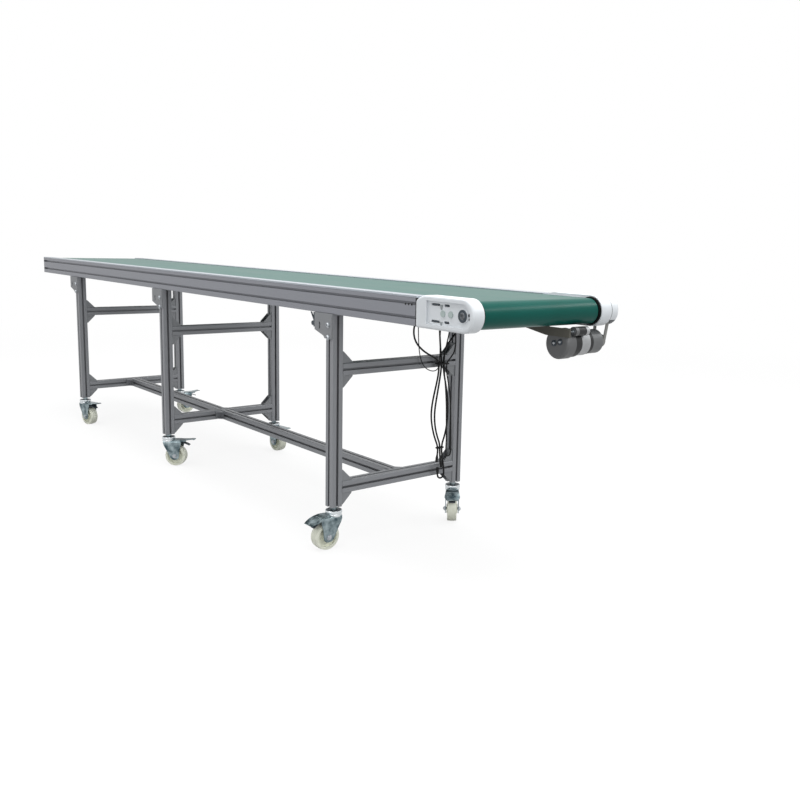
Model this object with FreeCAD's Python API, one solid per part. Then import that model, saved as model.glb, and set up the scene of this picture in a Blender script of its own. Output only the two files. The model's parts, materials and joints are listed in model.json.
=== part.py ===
"""Mobile belt conveyor: an aluminium slot-profile frame on six braked castors.

Millimetres. +X is the way the belt runs, from the tail end to the driven head end, +Z is up and
the floor is z = 0. The origin is on the floor under the middle of the machine, so x is counted
from there and y from the belt's centre line. Right is -Y and left is +Y, seen along the belt.
"""
import FreeCAD, Part
import math
import os

V = FreeCAD.Vector
os.makedirs("parts", exist_ok=True)

# ---- driving dimensions: the bed -----------------------------------------------------------
rail_length = 3360.0          # side rails, tail end to the head housings
rail_width = 40.0
rail_height = 80.0
rail_slot_drop = 16.0         # upper side slot, below the rail's top
rail_slot_pitch = 40.0        # upper side slot to lower side slot
rail_bore_drop = 20.0         # upper core bore, below the rail's top
rail_bore_pitch = 40.0
rail_cavity_width = 24.0
rail_cavity_height = 11.0
strip_height = 5.0            # light guide strip on each rail
strip_overhang = 7.0          # strip past the rail's inner face, towards the belt
slider_thickness = 2.0
tie_width = 60.0              # bed ties, along x
tie_height = 30.0
tie_wall = 2.5
tie_count = 6
tie_end_inset = 330.0         # end ties, from either end of the slider bed

# ---- driving dimensions: belt, drums and rollers -------------------------------------------
belt_width = 460.0
belt_edge_gap = 3.0           # belt's edge to the guide strip
belt_thickness = 2.5
drum_radius = 36.0
drum_end_gap = 8.0            # drum face to the housing or tail block beside it
shaft_radius = 10.0
bore_clearance = 0.05
drum_clearance = 0.3          # belt to the drum, roller or bed that it runs on
head_reach = 192.0            # head drum's axis past the rails' head end
tail_inset = 52.0             # tail drum's axis from the rails' tail end
bed_end_gap = 6.0             # slider bed to the drum's surface
tail_block_thickness = 8.0
tail_block_length = 84.0
tail_block_height = 64.0
roller_radius = 14.0
roller_shaft_radius = 6.0
roller_end_gap = 6.0
roller_rise = 1.0             # lowest point of the rollers above the rails' underside
snub_reach = 112.0            # snub rollers, from the axis of the drum beside them
return_roller_count = 4       # between the two snub rollers

# ---- driving dimensions: head housings -----------------------------------------------------
housing_radius = 46.5         # round nose, about the head drum's axis
housing_shoulder_drop = 14.0  # top of the housing, down to its end at the rail
housing_shoulder_run = 46.0
right_housing_thickness = 40.0
left_housing_thickness = 48.0
drive_cover_thickness = 34.0
cover_inset = 1.5             # drive cover's outline inside the housing's
housing_round = 7.0           # rounded outer edge
panel_rim = 14.0
panel_left_rim = 44.0
panel_depth = 6.0
seam_depth = 1.5
seam_width = 1.6
shaft_cap_radius = 17.0
shaft_cap_thickness = 4.0
adjuster_slot_height = 7.0
adjuster_slot_depth = 5.0
adjuster_slot_offset = 23.0   # slots above and below the drum's axis
adjuster_long_slot = 36.0
adjuster_short_slot = 22.0
adjuster_slot_start = 16.0    # first slot, from the panel's straight edge
adjuster_slot_gap = 18.0      # between the slots of one row
adjuster_screw_radius = 2.6
pivot_cap_radius = 9.0
pivot_cap_height = 3.0
pivot_cap_pitch = 32.0
pivot_disc_offset = 50.0      # nearer pivot cap to the drum's axis

# ---- driving dimensions: gear motor and its drive ------------------------------------------
motor_setback = 11.0          # motor's axis behind the head drum's
motor_drop = 94.7             # motor's axis below the head drum's
motor_pulley_gap = 12.0       # gearbox's end face to the pulley on its shaft
bell_radius = 46.0
bell_length = 39.0
bell_round = 8.0
motor_ring_radius = 43.0
motor_ring_length = 26.0
motor_body_radius = 40.0
motor_body_length = 44.0
motor_collar_radius = 38.0
motor_collar_length = 16.0
gearbox_radius = 37.0
gearbox_length = 48.0
gearbox_round = 4.0
motor_shaft_radius = 7.0
capacitor_radius = 14.0
capacitor_length = 60.0
capacitor_inset = 25.0        # capacitor's face behind the end bell's
capacitor_ahead = 41.0        # capacitor's axis, ahead of the motor's and above it
capacitor_rise = 39.0
motor_pulley_radius = 18.0
drum_pulley_radius = 24.0
pulley_width = 16.0
pulley_flange = 1.5
pulley_flange_rise = 2.5
pulley_inset = 4.0            # pulleys to the left housing
drive_belt_width = 12.0
drive_belt_thickness = 3.0
cover_wall = 3.0
cover_mouth_half = 36.0
arm_thickness = 6.0
arm_height = 26.0             # bracket arm over the motor
arm_slim_height = 10.0        # and at its tail end
arm_top_gap = 7.0             # arm's top below the belt's lowest point
arm_front = 43.0              # arm's front end ahead of the head drum's axis
arm_step = 50.0               # where the arm is full height, behind that axis
arm_slope = 92.0
arm_flange = 24.0
motor_tie_offset = 222.0      # tie tube's centre behind the head drum's axis
motor_tie_width = 40.0
motor_tie_height = 20.0
motor_tie_rise = 2.0          # tie tube's underside above the rails'

# ---- driving dimensions: cables at the head legs -------------------------------------------
duct_width = 28.0
duct_height = 20.0
duct_wall = 2.0
duct_rise = 4.0               # duct's underside above the rails'
duct_offset = 18.0            # duct's middle ahead of the head legs' front faces
cable_diameter = 6.5
loop_cable_diameter = 5.0
thin_cable_diameter = 3.5
plug_radius = 5.0
plug_length = 23.0
cable_tie_height = 5.0
cable_tie_wall = 1.8
cable_tie_gap = 0.2

clip_length = 48.0            # small clip on the right head rail plate
clip_width = 7.0
clip_depth = 10.0
clip_gap = 0.5                # below the rail
clip_knob_radius = 7.5
clip_strut = 4.0
clip_reach = 18.0

# ---- driving dimensions: stand -------------------------------------------------------------
profile_size = 40.0           # legs, crossbars and stretchers
leg_length = 631.0
tail_leg_inset = 535.0        # leg pairs' centres, from the rails' tail end
middle_leg_inset = 1605.0
head_leg_inset = 2920.0
upper_crossbar_drop = 180.0   # upper crossbar's centre below the rails' underside
lower_bar_rise = 64.0         # lower crossbar's centre above the legs' lower ends
bracket_leg = 39.0
bracket_width = 34.0
bracket_wall = 4.0
bracket_rib = 4.0
stretcher_bracket_leg = 28.0
plate_thickness = 5.0         # rail plates at the tops of the legs
plate_wing = 60.0             # plate past the leg, towards the tail
plate_drop = 80.0             # plate's lower end below the rails' underside
plate_taper = 24.0
plate_slot_length = 22.0
plate_slot_width = 8.0

# ---- driving dimensions: slot profile ------------------------------------------------------
slot_opening = 8.2
slot_lip = 4.5
slot_inner_width = 20.0
slot_shoulder = 3.0
slot_depth = 12.3
slot_floor_width = 11.0
profile_round = 2.0
core_bore_radius = 3.4
leg_bore_radius = 6.1

# ---- driving dimensions: castors -----------------------------------------------------------
wheel_radius = 45.0
wheel_width = 34.0
wheel_crown = 1.5
hub_radius = 17.0
hub_width = 40.0
web_width = 14.0
rim_depth = 11.0
axle_radius = 6.0
axle_head_radius = 9.0
axle_head_height = 5.0
castor_trail = 33.0
castor_height = 128.0         # floor to the top of the swivel head
stem_gap = 12.0               # swivel head to the leg's lower end
stem_radius = 6.0
stem_insert = 30.0
nut_radius = 11.0
upper_race_radius = 27.0
upper_race_height = 10.0
lower_race_radius = 25.0
race_gap = 0.4
crown_top = 104.0
crown_thickness = 4.0
fork_plate = 3.0
fork_wheel_gap = 5.0          # wheel's side to the fork
fork_boss_radius = 14.0
fork_back = 24.0
fork_front = 50.0
fork_shoulder = 12.0
pedal_reach = 113.0           # pedal's tip from the swivel axis
pedal_width = 30.0
pedal_thickness = 3.0
pedal_rise = 6.0
pedal_curl = 9.0              # turned-up lip at the pedal's tip
release_reach = 92.0
release_drop = 14.0
release_width = 20.0
# one row a leg pair, tail to head: the way each castor trails, in degrees from +X
right_castor_trail_deg = [15.0, 46.0, -90.0]
left_castor_trail_deg = [90.0, 5.0, -41.0]

# ---- sizes that follow ---------------------------------------------------------------------
frame_width = belt_width + 2.0 * (belt_edge_gap + strip_overhang + rail_width)
leg_bottom = castor_height + stem_gap
leg_top = leg_bottom + leg_length
rail_bottom = leg_top + plate_thickness
rail_top = rail_bottom + rail_height
half_width = frame_width / 2.0
inner_half = half_width - rail_width
leg_line = half_width - rail_width / 2.0
housing_nose = rail_length + head_reach + housing_radius
tail_x = -housing_nose / 2.0
head_end_x = tail_x + rail_length
head_axis_x = head_end_x + head_reach
tail_axis_x = tail_x + tail_inset
drum_axis_z = rail_top - drum_radius - drum_clearance
roller_axis_z = rail_bottom + roller_rise + roller_radius
leg_x = [tail_x + tail_leg_inset, tail_x + middle_leg_inset, tail_x + head_leg_inset]
upper_bar_z = rail_bottom - upper_crossbar_drop
lower_bar_z = leg_bottom + lower_bar_rise
swivel_split_z = castor_height - upper_race_height
wheel_half = wheel_width / 2.0
fork_inner = wheel_half + fork_wheel_gap
fork_outer = fork_inner + fork_plate
LEG_NAMES = ["tail", "middle", "head"]
SIDES = [("right", -1.0), ("left", 1.0)]


def save(name, *shapes):
    """Write one node: its solids are each made and placed already."""
    solids = []
    for shape in shapes:
        solids.extend(shape.Solids)
    result = solids[0] if len(solids) == 1 else Part.makeCompound(solids)
    result.exportStep("parts/" + name + ".step")


def box(x0, x1, y0, y1, z0, z1):
    return Part.makeBox(x1 - x0, y1 - y0, z1 - z0, V(x0, y0, z0))


def rod(radius, start, end):
    """A round bar from one point to another."""
    along = end.sub(start)
    return Part.makeCylinder(radius, along.Length, start, along)


def polygon(points):
    """A flat face through points."""
    return Part.Face(Part.makePolygon(points + [points[0]]))


def rounded_rectangle(width, height, radius):
    """A wire round the origin in the XY plane."""
    x = width / 2.0
    y = height / 2.0
    edges = []
    corners = [(x - radius, y - radius, 0.0), (-x + radius, y - radius, 90.0),
               (-x + radius, -y + radius, 180.0), (x - radius, -y + radius, 270.0)]
    arcs = []
    for cx, cy, start in corners:
        arcs.append(Part.makeCircle(radius, V(cx, cy, 0), V(0, 0, 1), start, start + 90.0))
    for index, arc in enumerate(arcs):
        following = arcs[(index + 1) % 4]
        edges.append(arc)
        edges.append(Part.makeLine(arc.Vertexes[-1].Point, following.Vertexes[0].Point))
    return Part.Wire(edges)


# ---- slot profiles -------------------------------------------------------------------------
def slot_cutter(x, y, facing_deg):
    """A T-slot's section: its mouth at (x, y) opens towards facing_deg."""
    mouth = slot_opening / 2.0
    wide = slot_inner_width / 2.0
    floor = slot_floor_width / 2.0
    lip = -slot_lip
    shoulder = -slot_lip - slot_shoulder
    points = [V(1, -mouth, 0), V(1, mouth, 0), V(lip, mouth, 0), V(lip, wide, 0),
              V(shoulder, wide, 0), V(-slot_depth, floor, 0), V(-slot_depth, -floor, 0),
              V(shoulder, -wide, 0), V(lip, -wide, 0), V(lip, -mouth, 0)]
    cutter = polygon(points)
    cutter.rotate(V(0, 0, 0), V(0, 0, 1), facing_deg)
    cutter.translate(V(x, y, 0))
    return cutter


def bore_cutter(x, y, radius):
    return Part.Face(Part.Wire(Part.makeCircle(radius, V(x, y, 0))))


def square_section(core_radius):
    """The square profile's section, with a slot in each side and a core bore."""
    half = profile_size / 2.0
    face = Part.Face(rounded_rectangle(profile_size, profile_size, profile_round))
    cutters = [slot_cutter(half, 0, 0), slot_cutter(0, half, 90),
               slot_cutter(-half, 0, 180), slot_cutter(0, -half, 270),
               bore_cutter(0, 0, core_radius)]
    return face.cut(cutters)


def rail_section():
    """The side rail's section, upright: X across the rail, Y up, its top at y = 0."""
    face = Part.Face(rounded_rectangle(rail_width, rail_height, profile_round))
    face.translate(V(0, -rail_height / 2.0, 0))
    half = rail_width / 2.0
    cutters = [slot_cutter(0, 0, 90), slot_cutter(0, -rail_height, 270)]
    for row in range(2):
        drop = -rail_slot_drop - row * rail_slot_pitch
        cutters.append(slot_cutter(half, drop, 0))
        cutters.append(slot_cutter(-half, drop, 180))
        cutters.append(bore_cutter(0, -rail_bore_drop - row * rail_bore_pitch, core_bore_radius))
    middle = -rail_slot_drop - rail_slot_pitch / 2.0
    cavity = Part.Face(rounded_rectangle(rail_cavity_width, rail_cavity_height, profile_round))
    cavity.translate(V(0, middle, 0))
    cutters.append(cavity)
    return face.cut(cutters)


def square_profile(start, length, direction, core_radius=core_bore_radius):
    """A length of the square profile from start, along "x", "y" or "z"."""
    face = square_section(core_radius)
    along = {"x": V(length, 0, 0), "y": V(0, length, 0), "z": V(0, 0, length)}[direction]
    if direction == "x":
        face.rotate(V(0, 0, 0), V(0, 1, 0), 90)
    if direction == "y":
        face.rotate(V(0, 0, 0), V(1, 0, 0), -90)
    face.translate(start)
    return face.extrude(along)


# ---- bed -----------------------------------------------------------------------------------
def side_rail(side):
    """A rail from the tail end to the head housing: the section stood up across the belt."""
    face = rail_section()
    face.rotate(V(0, 0, 0), V(1, 0, 0), 90)
    face.rotate(V(0, 0, 0), V(0, 0, 1), 90)
    face.translate(V(tail_x, side * leg_line, rail_top))
    return face.extrude(V(rail_length, 0, 0))


def edge_strip(side):
    """The light strip that lies on a rail and reaches in over the belt's edge gap."""
    outer = half_width
    inner = inner_half - strip_overhang
    y0 = min(side * outer, side * inner)
    y1 = max(side * outer, side * inner)
    return box(tail_x, head_end_x, y0, y1, rail_top, rail_top + strip_height)


bed_start_x = tail_axis_x + drum_radius + bed_end_gap
bed_end_x = head_axis_x - drum_radius - bed_end_gap


def slider_bed():
    """The sheet that the belt slides on, between the drums."""
    low = rail_top - drum_clearance - slider_thickness
    high = rail_top - drum_clearance
    return box(bed_start_x, bed_end_x, -inner_half, inner_half, low, high)


def bed_ties():
    """Flat tubes across the frame that carry the slider bed."""
    top = rail_top - drum_clearance - slider_thickness
    first = tail_x + tie_end_inset
    last = head_end_x - tie_end_inset
    half = tie_width / 2.0
    ties = []
    for index in range(tie_count):
        x = first + (last - first) * index / (tie_count - 1)
        tube = box(x - half, x + half, -inner_half, inner_half, top - tie_height, top)
        inside = box(x - half + tie_wall, x + half - tie_wall, -inner_half - 1, inner_half + 1,
                     top - tie_height + tie_wall, top - tie_wall)
        ties.append(tube.cut(inside))
    return ties


# ---- belt ----------------------------------------------------------------------------------
def tangent_points(first, second):
    """Where a belt run leaves one circle and meets the next.

    A circle is (x, z, radius). The belt goes round anticlockwise, seen with X to the right and Z
    up, and a negative radius is a roller on the belt's outer side, which it passes clockwise.
    """
    x1, z1, r1 = first
    x2, z2, r2 = second
    distance = math.hypot(x2 - x1, z2 - z1)
    heading = math.atan2(z2 - z1, x2 - x1)
    lean = math.asin((r1 - r2) / distance)
    angle = heading - math.pi / 2.0 + lean
    ax = math.cos(angle)
    az = math.sin(angle)
    return (x1 + r1 * ax, z1 + r1 * az), (x2 + r2 * ax, z2 + r2 * az)


def loop_face(circles):
    """The face inside a taut loop round the circles, in the XZ plane."""
    runs = []
    for index, circle in enumerate(circles):
        runs.append(tangent_points(circle, circles[(index + 1) % len(circles)]))
    edges = []
    for index, circle in enumerate(circles):
        arrive = runs[index - 1][1]
        leave = runs[index][0]
        x, z, radius = circle
        start = math.atan2((arrive[1] - z) / radius, (arrive[0] - x) / radius)
        end = math.atan2((leave[1] - z) / radius, (leave[0] - x) / radius)
        if radius > 0 and end < start:
            end += 2.0 * math.pi
        if radius < 0 and end > start:
            end -= 2.0 * math.pi
        middle = (start + end) / 2.0
        through = V(x + radius * math.cos(middle), 0, z + radius * math.sin(middle))
        edges.append(Part.Arc(V(arrive[0], 0, arrive[1]), through,
                              V(leave[0], 0, leave[1])).toShape())
        meet = runs[index][1]
        edges.append(Part.makeLine(V(leave[0], 0, leave[1]), V(meet[0], 0, meet[1])))
    return Part.Face(Part.Wire(edges))


def conveyor_belt():
    """One fixed loop: over the bed, round both drums and back over the snub rollers."""
    inner_drum = drum_radius + drum_clearance
    inner_snub = -(roller_radius + drum_clearance + belt_thickness)
    outer_snub = -(roller_radius + drum_clearance)
    places = [(tail_axis_x, drum_axis_z, True), (tail_axis_x + snub_reach, roller_axis_z, False),
              (head_axis_x - snub_reach, roller_axis_z, False), (head_axis_x, drum_axis_z, True)]
    inside = []
    outside = []
    for x, z, is_drum in places:
        inside.append((x, z, inner_drum if is_drum else inner_snub))
        outside.append((x, z, inner_drum + belt_thickness if is_drum else outer_snub))
    ring = loop_face(outside).cut(loop_face(inside))
    ring.translate(V(0, -belt_width / 2.0, 0))
    return ring.extrude(V(0, belt_width, 0))


# ---- drums and rollers ---------------------------------------------------------------------
def drum(x, half_length, shaft_right, shaft_left):
    """A drum with its shaft ends, along Y."""
    body = rod(drum_radius, V(x, -half_length, drum_axis_z), V(x, half_length, drum_axis_z))
    shaft = rod(shaft_radius, V(x, -shaft_right, drum_axis_z), V(x, shaft_left, drum_axis_z))
    return body.fuse(shaft)


def tail_block(side):
    """The plate on a rail's inner face that carries the tail drum's shaft."""
    inner = inner_half - tail_block_thickness
    y0 = min(side * inner, side * inner_half)
    y1 = max(side * inner, side * inner_half)
    x0 = tail_axis_x - tail_block_length / 2.0
    z0 = drum_axis_z - tail_block_height / 2.0
    plate = box(x0, x0 + tail_block_length, y0, y1, z0, z0 + tail_block_height)
    bore = rod(shaft_radius + bore_clearance, V(tail_axis_x, y0 - 1, drum_axis_z),
               V(tail_axis_x, y1 + 1, drum_axis_z))
    return plate.cut(bore)


def return_rollers():
    """Two snub rollers and the return rollers between them, each on its shaft."""
    first = tail_axis_x + snub_reach
    last = head_axis_x - snub_reach
    count = return_roller_count + 2
    half = inner_half - roller_end_gap
    rollers = []
    for index in range(count):
        x = first + (last - first) * index / (count - 1)
        body = rod(roller_radius, V(x, -half, roller_axis_z), V(x, half, roller_axis_z))
        shaft = rod(roller_shaft_radius, V(x, -inner_half, roller_axis_z),
                    V(x, inner_half, roller_axis_z))
        rollers.append(body.fuse(shaft))
    return rollers


# ---- head housings -------------------------------------------------------------------------
def housing_outline(inset):
    """A housing's outline in the XZ plane, drawn in by inset: square end, round nose."""
    radius = housing_radius - inset
    x0 = head_end_x + inset
    top = drum_axis_z + radius
    bottom = drum_axis_z - radius
    shoulder = top - housing_shoulder_drop
    run = housing_shoulder_run
    drop = housing_shoulder_drop
    bend = (run * run + drop * drop) / (2.0 * drop)
    half_turn = math.asin(run / bend) / 2.0
    through = V(x0 + run - bend * math.sin(half_turn), 0, top - bend + bend * math.cos(half_turn))
    nose = V(head_axis_x + radius, 0, drum_axis_z)
    edges = [Part.makeLine(V(x0, 0, bottom), V(head_axis_x, 0, bottom)),
             Part.Arc(V(head_axis_x, 0, bottom), nose, V(head_axis_x, 0, top)).toShape(),
             Part.makeLine(V(head_axis_x, 0, top), V(x0 + run, 0, top)),
             Part.Arc(V(x0 + run, 0, top), through, V(x0, 0, shoulder)).toShape(),
             Part.makeLine(V(x0, 0, shoulder), V(x0, 0, bottom))]
    return Part.Face(Part.Wire(edges))


def plate_along_y(face, y0, y1):
    """A face in the XZ plane, made solid from y0 to y1."""
    moved = face.copy()
    moved.translate(V(0, y0, 0))
    return moved.extrude(V(0, y1 - y0, 0))


def round_outer_edges(solid, y):
    """Round the edges of the face at y, apart from the one at the rail's end."""
    edges = []
    for edge in solid.Edges:
        bounds = edge.BoundBox
        at_face = abs(bounds.YMin - y) < 0.01 and abs(bounds.YMax - y) < 0.01
        if at_face and bounds.XLength > 1.0:
            edges.append(edge)
    return solid.makeFillet(housing_round, edges)


panel_start_x = head_end_x + panel_left_rim
panel_radius = housing_radius - panel_rim


def panel_outline():
    """The sunk D-shaped panel of the right housing, in the XZ plane."""
    top = drum_axis_z + panel_radius
    bottom = drum_axis_z - panel_radius
    nose = V(head_axis_x + panel_radius, 0, drum_axis_z)
    edges = [Part.makeLine(V(panel_start_x, 0, bottom), V(head_axis_x, 0, bottom)),
             Part.Arc(V(head_axis_x, 0, bottom), nose, V(head_axis_x, 0, top)).toShape(),
             Part.makeLine(V(head_axis_x, 0, top), V(panel_start_x, 0, top)),
             Part.makeLine(V(panel_start_x, 0, top), V(panel_start_x, 0, bottom))]
    return Part.Face(Part.Wire(edges))


def slot_bar(x0, length, z, y0, y1, height):
    """A round-ended bar along X, for the adjuster slots."""
    radius = height / 2.0
    middle = box(x0 + radius, x0 + length - radius, y0, y1, z - radius, z + radius)
    ends = [rod(radius, V(x0 + radius, y0, z), V(x0 + radius, y1, z)),
            rod(radius, V(x0 + length - radius, y0, z), V(x0 + length - radius, y1, z))]
    return middle.fuse(ends).removeSplitter()


adjuster_rows = [drum_axis_z + adjuster_slot_offset, drum_axis_z - adjuster_slot_offset]
adjuster_slots = []
for row_z in adjuster_rows:
    long_x = panel_start_x + adjuster_slot_start
    short_x = long_x + adjuster_long_slot + adjuster_slot_gap
    adjuster_slots.append((long_x, adjuster_long_slot, row_z))
    adjuster_slots.append((short_x, adjuster_short_slot, row_z))
panel_y = -inner_half - right_housing_thickness + panel_depth


def right_housing():
    """White housing with its sunk panel, adjuster slots and shaft bore."""
    outer = -inner_half - right_housing_thickness
    body = plate_along_y(housing_outline(0.0), outer, -inner_half)
    body = round_outer_edges(body, outer)
    body = body.cut(plate_along_y(panel_outline(), outer - 1, panel_y))
    for x, length, z in adjuster_slots:
        body = body.cut(slot_bar(x, length, z, outer - 1, panel_y + adjuster_slot_depth,
                                 adjuster_slot_height))
    bore = rod(shaft_radius + bore_clearance, V(head_axis_x, outer - 1, drum_axis_z),
               V(head_axis_x, -inner_half + 1, drum_axis_z))
    return body.cut(bore)


left_outer = inner_half + left_housing_thickness


def left_housing():
    """White housing on the drive side, with the seam groove that the drive cover meets."""
    body = plate_along_y(housing_outline(0.0), inner_half, left_outer)
    rim = plate_along_y(housing_outline(0.0), left_outer - seam_width, left_outer + 1)
    core = plate_along_y(housing_outline(seam_depth), left_outer - seam_width, left_outer + 1)
    body = body.cut(rim.cut(core))
    bore = rod(shaft_radius + bore_clearance, V(head_axis_x, inner_half - 1, drum_axis_z),
               V(head_axis_x, left_outer + 1, drum_axis_z))
    return body.cut(bore)


def drive_cover():
    """White cover over the belt drive: a shell, open below where the drive belt comes in."""
    outer = left_outer + drive_cover_thickness
    body = round_outer_edges(plate_along_y(housing_outline(cover_inset), left_outer, outer), outer)
    room = plate_along_y(housing_outline(cover_inset + cover_wall), left_outer - 1,
                         outer - cover_wall)
    mouth = box(head_axis_x - cover_mouth_half, head_axis_x + cover_mouth_half, left_outer - 1,
                outer - cover_wall, drum_axis_z - housing_radius - 1, drum_axis_z)
    return body.cut([room, mouth])


# ---- gear motor and its drive --------------------------------------------------------------
motor_x = head_axis_x - motor_setback
motor_z = drum_axis_z - motor_drop
pulley_start_y = left_outer + pulley_inset
gearbox_end_y = pulley_start_y - motor_pulley_gap
motor_length = (bell_length + motor_ring_length + motor_body_length + motor_collar_length
                + gearbox_length)
motor_face_y = gearbox_end_y - motor_length
arm_top = drum_axis_z - drum_radius - drum_clearance - belt_thickness - arm_top_gap
motor_tie_bottom = rail_bottom + motor_tie_rise


def turned_along_y(x, z, y, steps):
    """Round steps one after another along +Y, each a (radius, length), as one solid."""
    pieces = []
    for radius, length in steps:
        pieces.append(rod(radius, V(x, y, z), V(x, y + length, z)))
        y += length
    return pieces[0].fuse(pieces[1:])


def round_rim(solid, y, radius, rounding):
    """Round the circular edge of the given radius at y."""
    edges = []
    for edge in solid.Edges:
        bounds = edge.BoundBox
        level = abs(bounds.YMin - y) < 0.01 and abs(bounds.YMax - y) < 0.01
        if level and abs(bounds.XLength - 2.0 * radius) < 0.1:
            edges.append(edge)
    return solid.makeFillet(rounding, edges)


def gear_motor():
    """End bell, ring, body, collar and gearbox in line, the output shaft and the capacitor."""
    shaft_end = pulley_start_y + pulley_width
    steps = [(bell_radius, bell_length), (motor_ring_radius, motor_ring_length),
             (motor_body_radius, motor_body_length), (motor_collar_radius, motor_collar_length),
             (gearbox_radius, gearbox_length), (motor_shaft_radius, shaft_end - gearbox_end_y)]
    body = turned_along_y(motor_x, motor_z, motor_face_y, steps)
    body = round_rim(body, motor_face_y, bell_radius, bell_round)
    body = round_rim(body, gearbox_end_y, gearbox_radius, gearbox_round)
    start = V(motor_x + capacitor_ahead, motor_face_y + capacitor_inset, motor_z + capacitor_rise)
    return body.fuse(rod(capacitor_radius, start, start.add(V(0, capacitor_length, 0))))


def motor_bracket():
    """A tie tube between the rails, and the cranked arm that the motor's end bell bolts to."""
    tie_x = head_axis_x - motor_tie_offset
    half = motor_tie_width / 2.0
    high = motor_tie_bottom + motor_tie_height
    tube = box(tie_x - half, tie_x + half, -inner_half, inner_half, motor_tie_bottom, high)
    inside = box(tie_x - half + tie_wall, tie_x + half - tie_wall, -inner_half - 1,
                 inner_half + 1, motor_tie_bottom + tie_wall, high - tie_wall)
    arm_low = arm_top - arm_height
    slim_low = arm_top - arm_slim_height
    outline = polygon([V(tie_x - half, 0, motor_tie_bottom), V(tie_x - half, 0, slim_low),
                       V(head_axis_x - arm_step - arm_slope, 0, slim_low),
                       V(head_axis_x - arm_step, 0, arm_low),
                       V(head_axis_x + arm_front, 0, arm_low),
                       V(head_axis_x + arm_front, 0, arm_top),
                       V(tie_x + half + arm_thickness, 0, arm_top),
                       V(tie_x + half, 0, motor_tie_bottom)])
    arm = plate_along_y(outline, motor_face_y - arm_thickness, motor_face_y)
    flange = box(tie_x - half, motor_x - bell_radius - arm_thickness, motor_face_y,
                 motor_face_y + arm_flange, arm_top - arm_thickness, arm_top)
    return tube.cut(inside).fuse([arm, flange]).removeSplitter()


def pulley(x, z, radius, bore_radius):
    flange_radius = radius + pulley_flange_rise
    middle = pulley_width - 2.0 * pulley_flange
    steps = [(flange_radius, pulley_flange), (radius, middle), (flange_radius, pulley_flange)]
    solid = turned_along_y(x, z, pulley_start_y, steps)
    bore = rod(bore_radius + bore_clearance, V(x, pulley_start_y - 1, z),
               V(x, pulley_start_y + pulley_width + 1, z))
    return solid.cut(bore)


def drive_belt():
    """The short belt from the motor's pulley up to the drum's."""
    motor_inner = motor_pulley_radius + drum_clearance
    drum_inner = drum_pulley_radius + drum_clearance
    inside = [(motor_x, motor_z, motor_inner), (head_axis_x, drum_axis_z, drum_inner)]
    outside = [(x, z, radius + drive_belt_thickness) for x, z, radius in inside]
    ring = loop_face(outside).cut(loop_face(inside))
    start = pulley_start_y + (pulley_width - drive_belt_width) / 2.0
    ring.translate(V(0, start, 0))
    return ring.extrude(V(0, drive_belt_width, 0))


def shaft_cap():
    """The dark ring round the shaft end in the right panel."""
    ring = rod(shaft_cap_radius, V(head_axis_x, panel_y, drum_axis_z),
               V(head_axis_x, panel_y - shaft_cap_thickness, drum_axis_z))
    hole = rod(shaft_radius + bore_clearance, V(head_axis_x, panel_y + 1, drum_axis_z),
               V(head_axis_x, panel_y - shaft_cap_thickness - 1, drum_axis_z))
    return ring.cut(hole)


def adjuster_screws():
    """A screw lying in each adjuster slot."""
    y = panel_y + adjuster_slot_depth - adjuster_screw_radius
    screws = []
    end = adjuster_slot_height / 2.0
    for x, length, z in adjuster_slots:
        screws.append(rod(adjuster_screw_radius, V(x + end, y, z), V(x + length - end, y, z)))
    return screws


def pivot_caps():
    """The two pale discs beside the shaft cap."""
    caps = []
    for index in range(2):
        x = head_axis_x - pivot_disc_offset - index * pivot_cap_pitch
        caps.append(rod(pivot_cap_radius, V(x, panel_y, drum_axis_z),
                        V(x, panel_y - pivot_cap_height, drum_axis_z)))
    return caps


# ---- stand ---------------------------------------------------------------------------------
def legs(x):
    return [square_profile(V(x, side * leg_line, leg_bottom), leg_length, "z", leg_bore_radius)
            for _, side in SIDES]


def crossbars(x):
    start = -leg_line + profile_size / 2.0
    length = 2.0 * leg_line - profile_size
    return [square_profile(V(x, start, z), length, "y") for z in (upper_bar_z, lower_bar_z)]


def stretchers():
    """Bars along the machine between the lower crossbars."""
    bars = []
    for x0, x1 in zip(leg_x[:-1], leg_x[1:]):
        start = V(x0 + profile_size / 2.0, 0, lower_bar_z)
        bars.append(square_profile(start, x1 - x0 - profile_size, "x"))
    return bars


def angle_bracket(leg):
    """A cast angle bracket: its corner at the origin, its walls along +Y and +Z."""
    nose = bracket_wall
    outline = polygon([V(0, 0, 0), V(0, leg, 0), V(0, leg, nose), V(0, nose, leg), V(0, 0, leg)])
    outline.translate(V(-bracket_width / 2.0, 0, 0))
    body = outline.extrude(V(bracket_width, 0, 0))
    wall = bracket_wall
    pocket = polygon([V(0, wall, wall), V(0, leg + 1, wall), V(0, leg + 1, leg + 1),
                      V(0, wall, leg + 1)])
    inside = bracket_width / 2.0 - bracket_rib
    pocket.translate(V(-inside, 0, 0))
    return body.cut(pocket.extrude(V(2.0 * inside, 0, 0)))


def corner_brackets(x):
    """Brackets above and below both crossbars, at both legs."""
    brackets = []
    half = profile_size / 2.0
    for bar_z in (upper_bar_z, lower_bar_z):
        for _, side in SIDES:
            for up in (1.0, -1.0):
                bracket = angle_bracket(bracket_leg)
                if side > 0:
                    bracket = bracket.mirror(V(0, 0, 0), V(0, 1, 0))
                if up < 0:
                    bracket = bracket.mirror(V(0, 0, 0), V(0, 0, 1))
                bracket.translate(V(x, side * (leg_line - half), bar_z + up * half))
                brackets.append(bracket)
    return brackets


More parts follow.
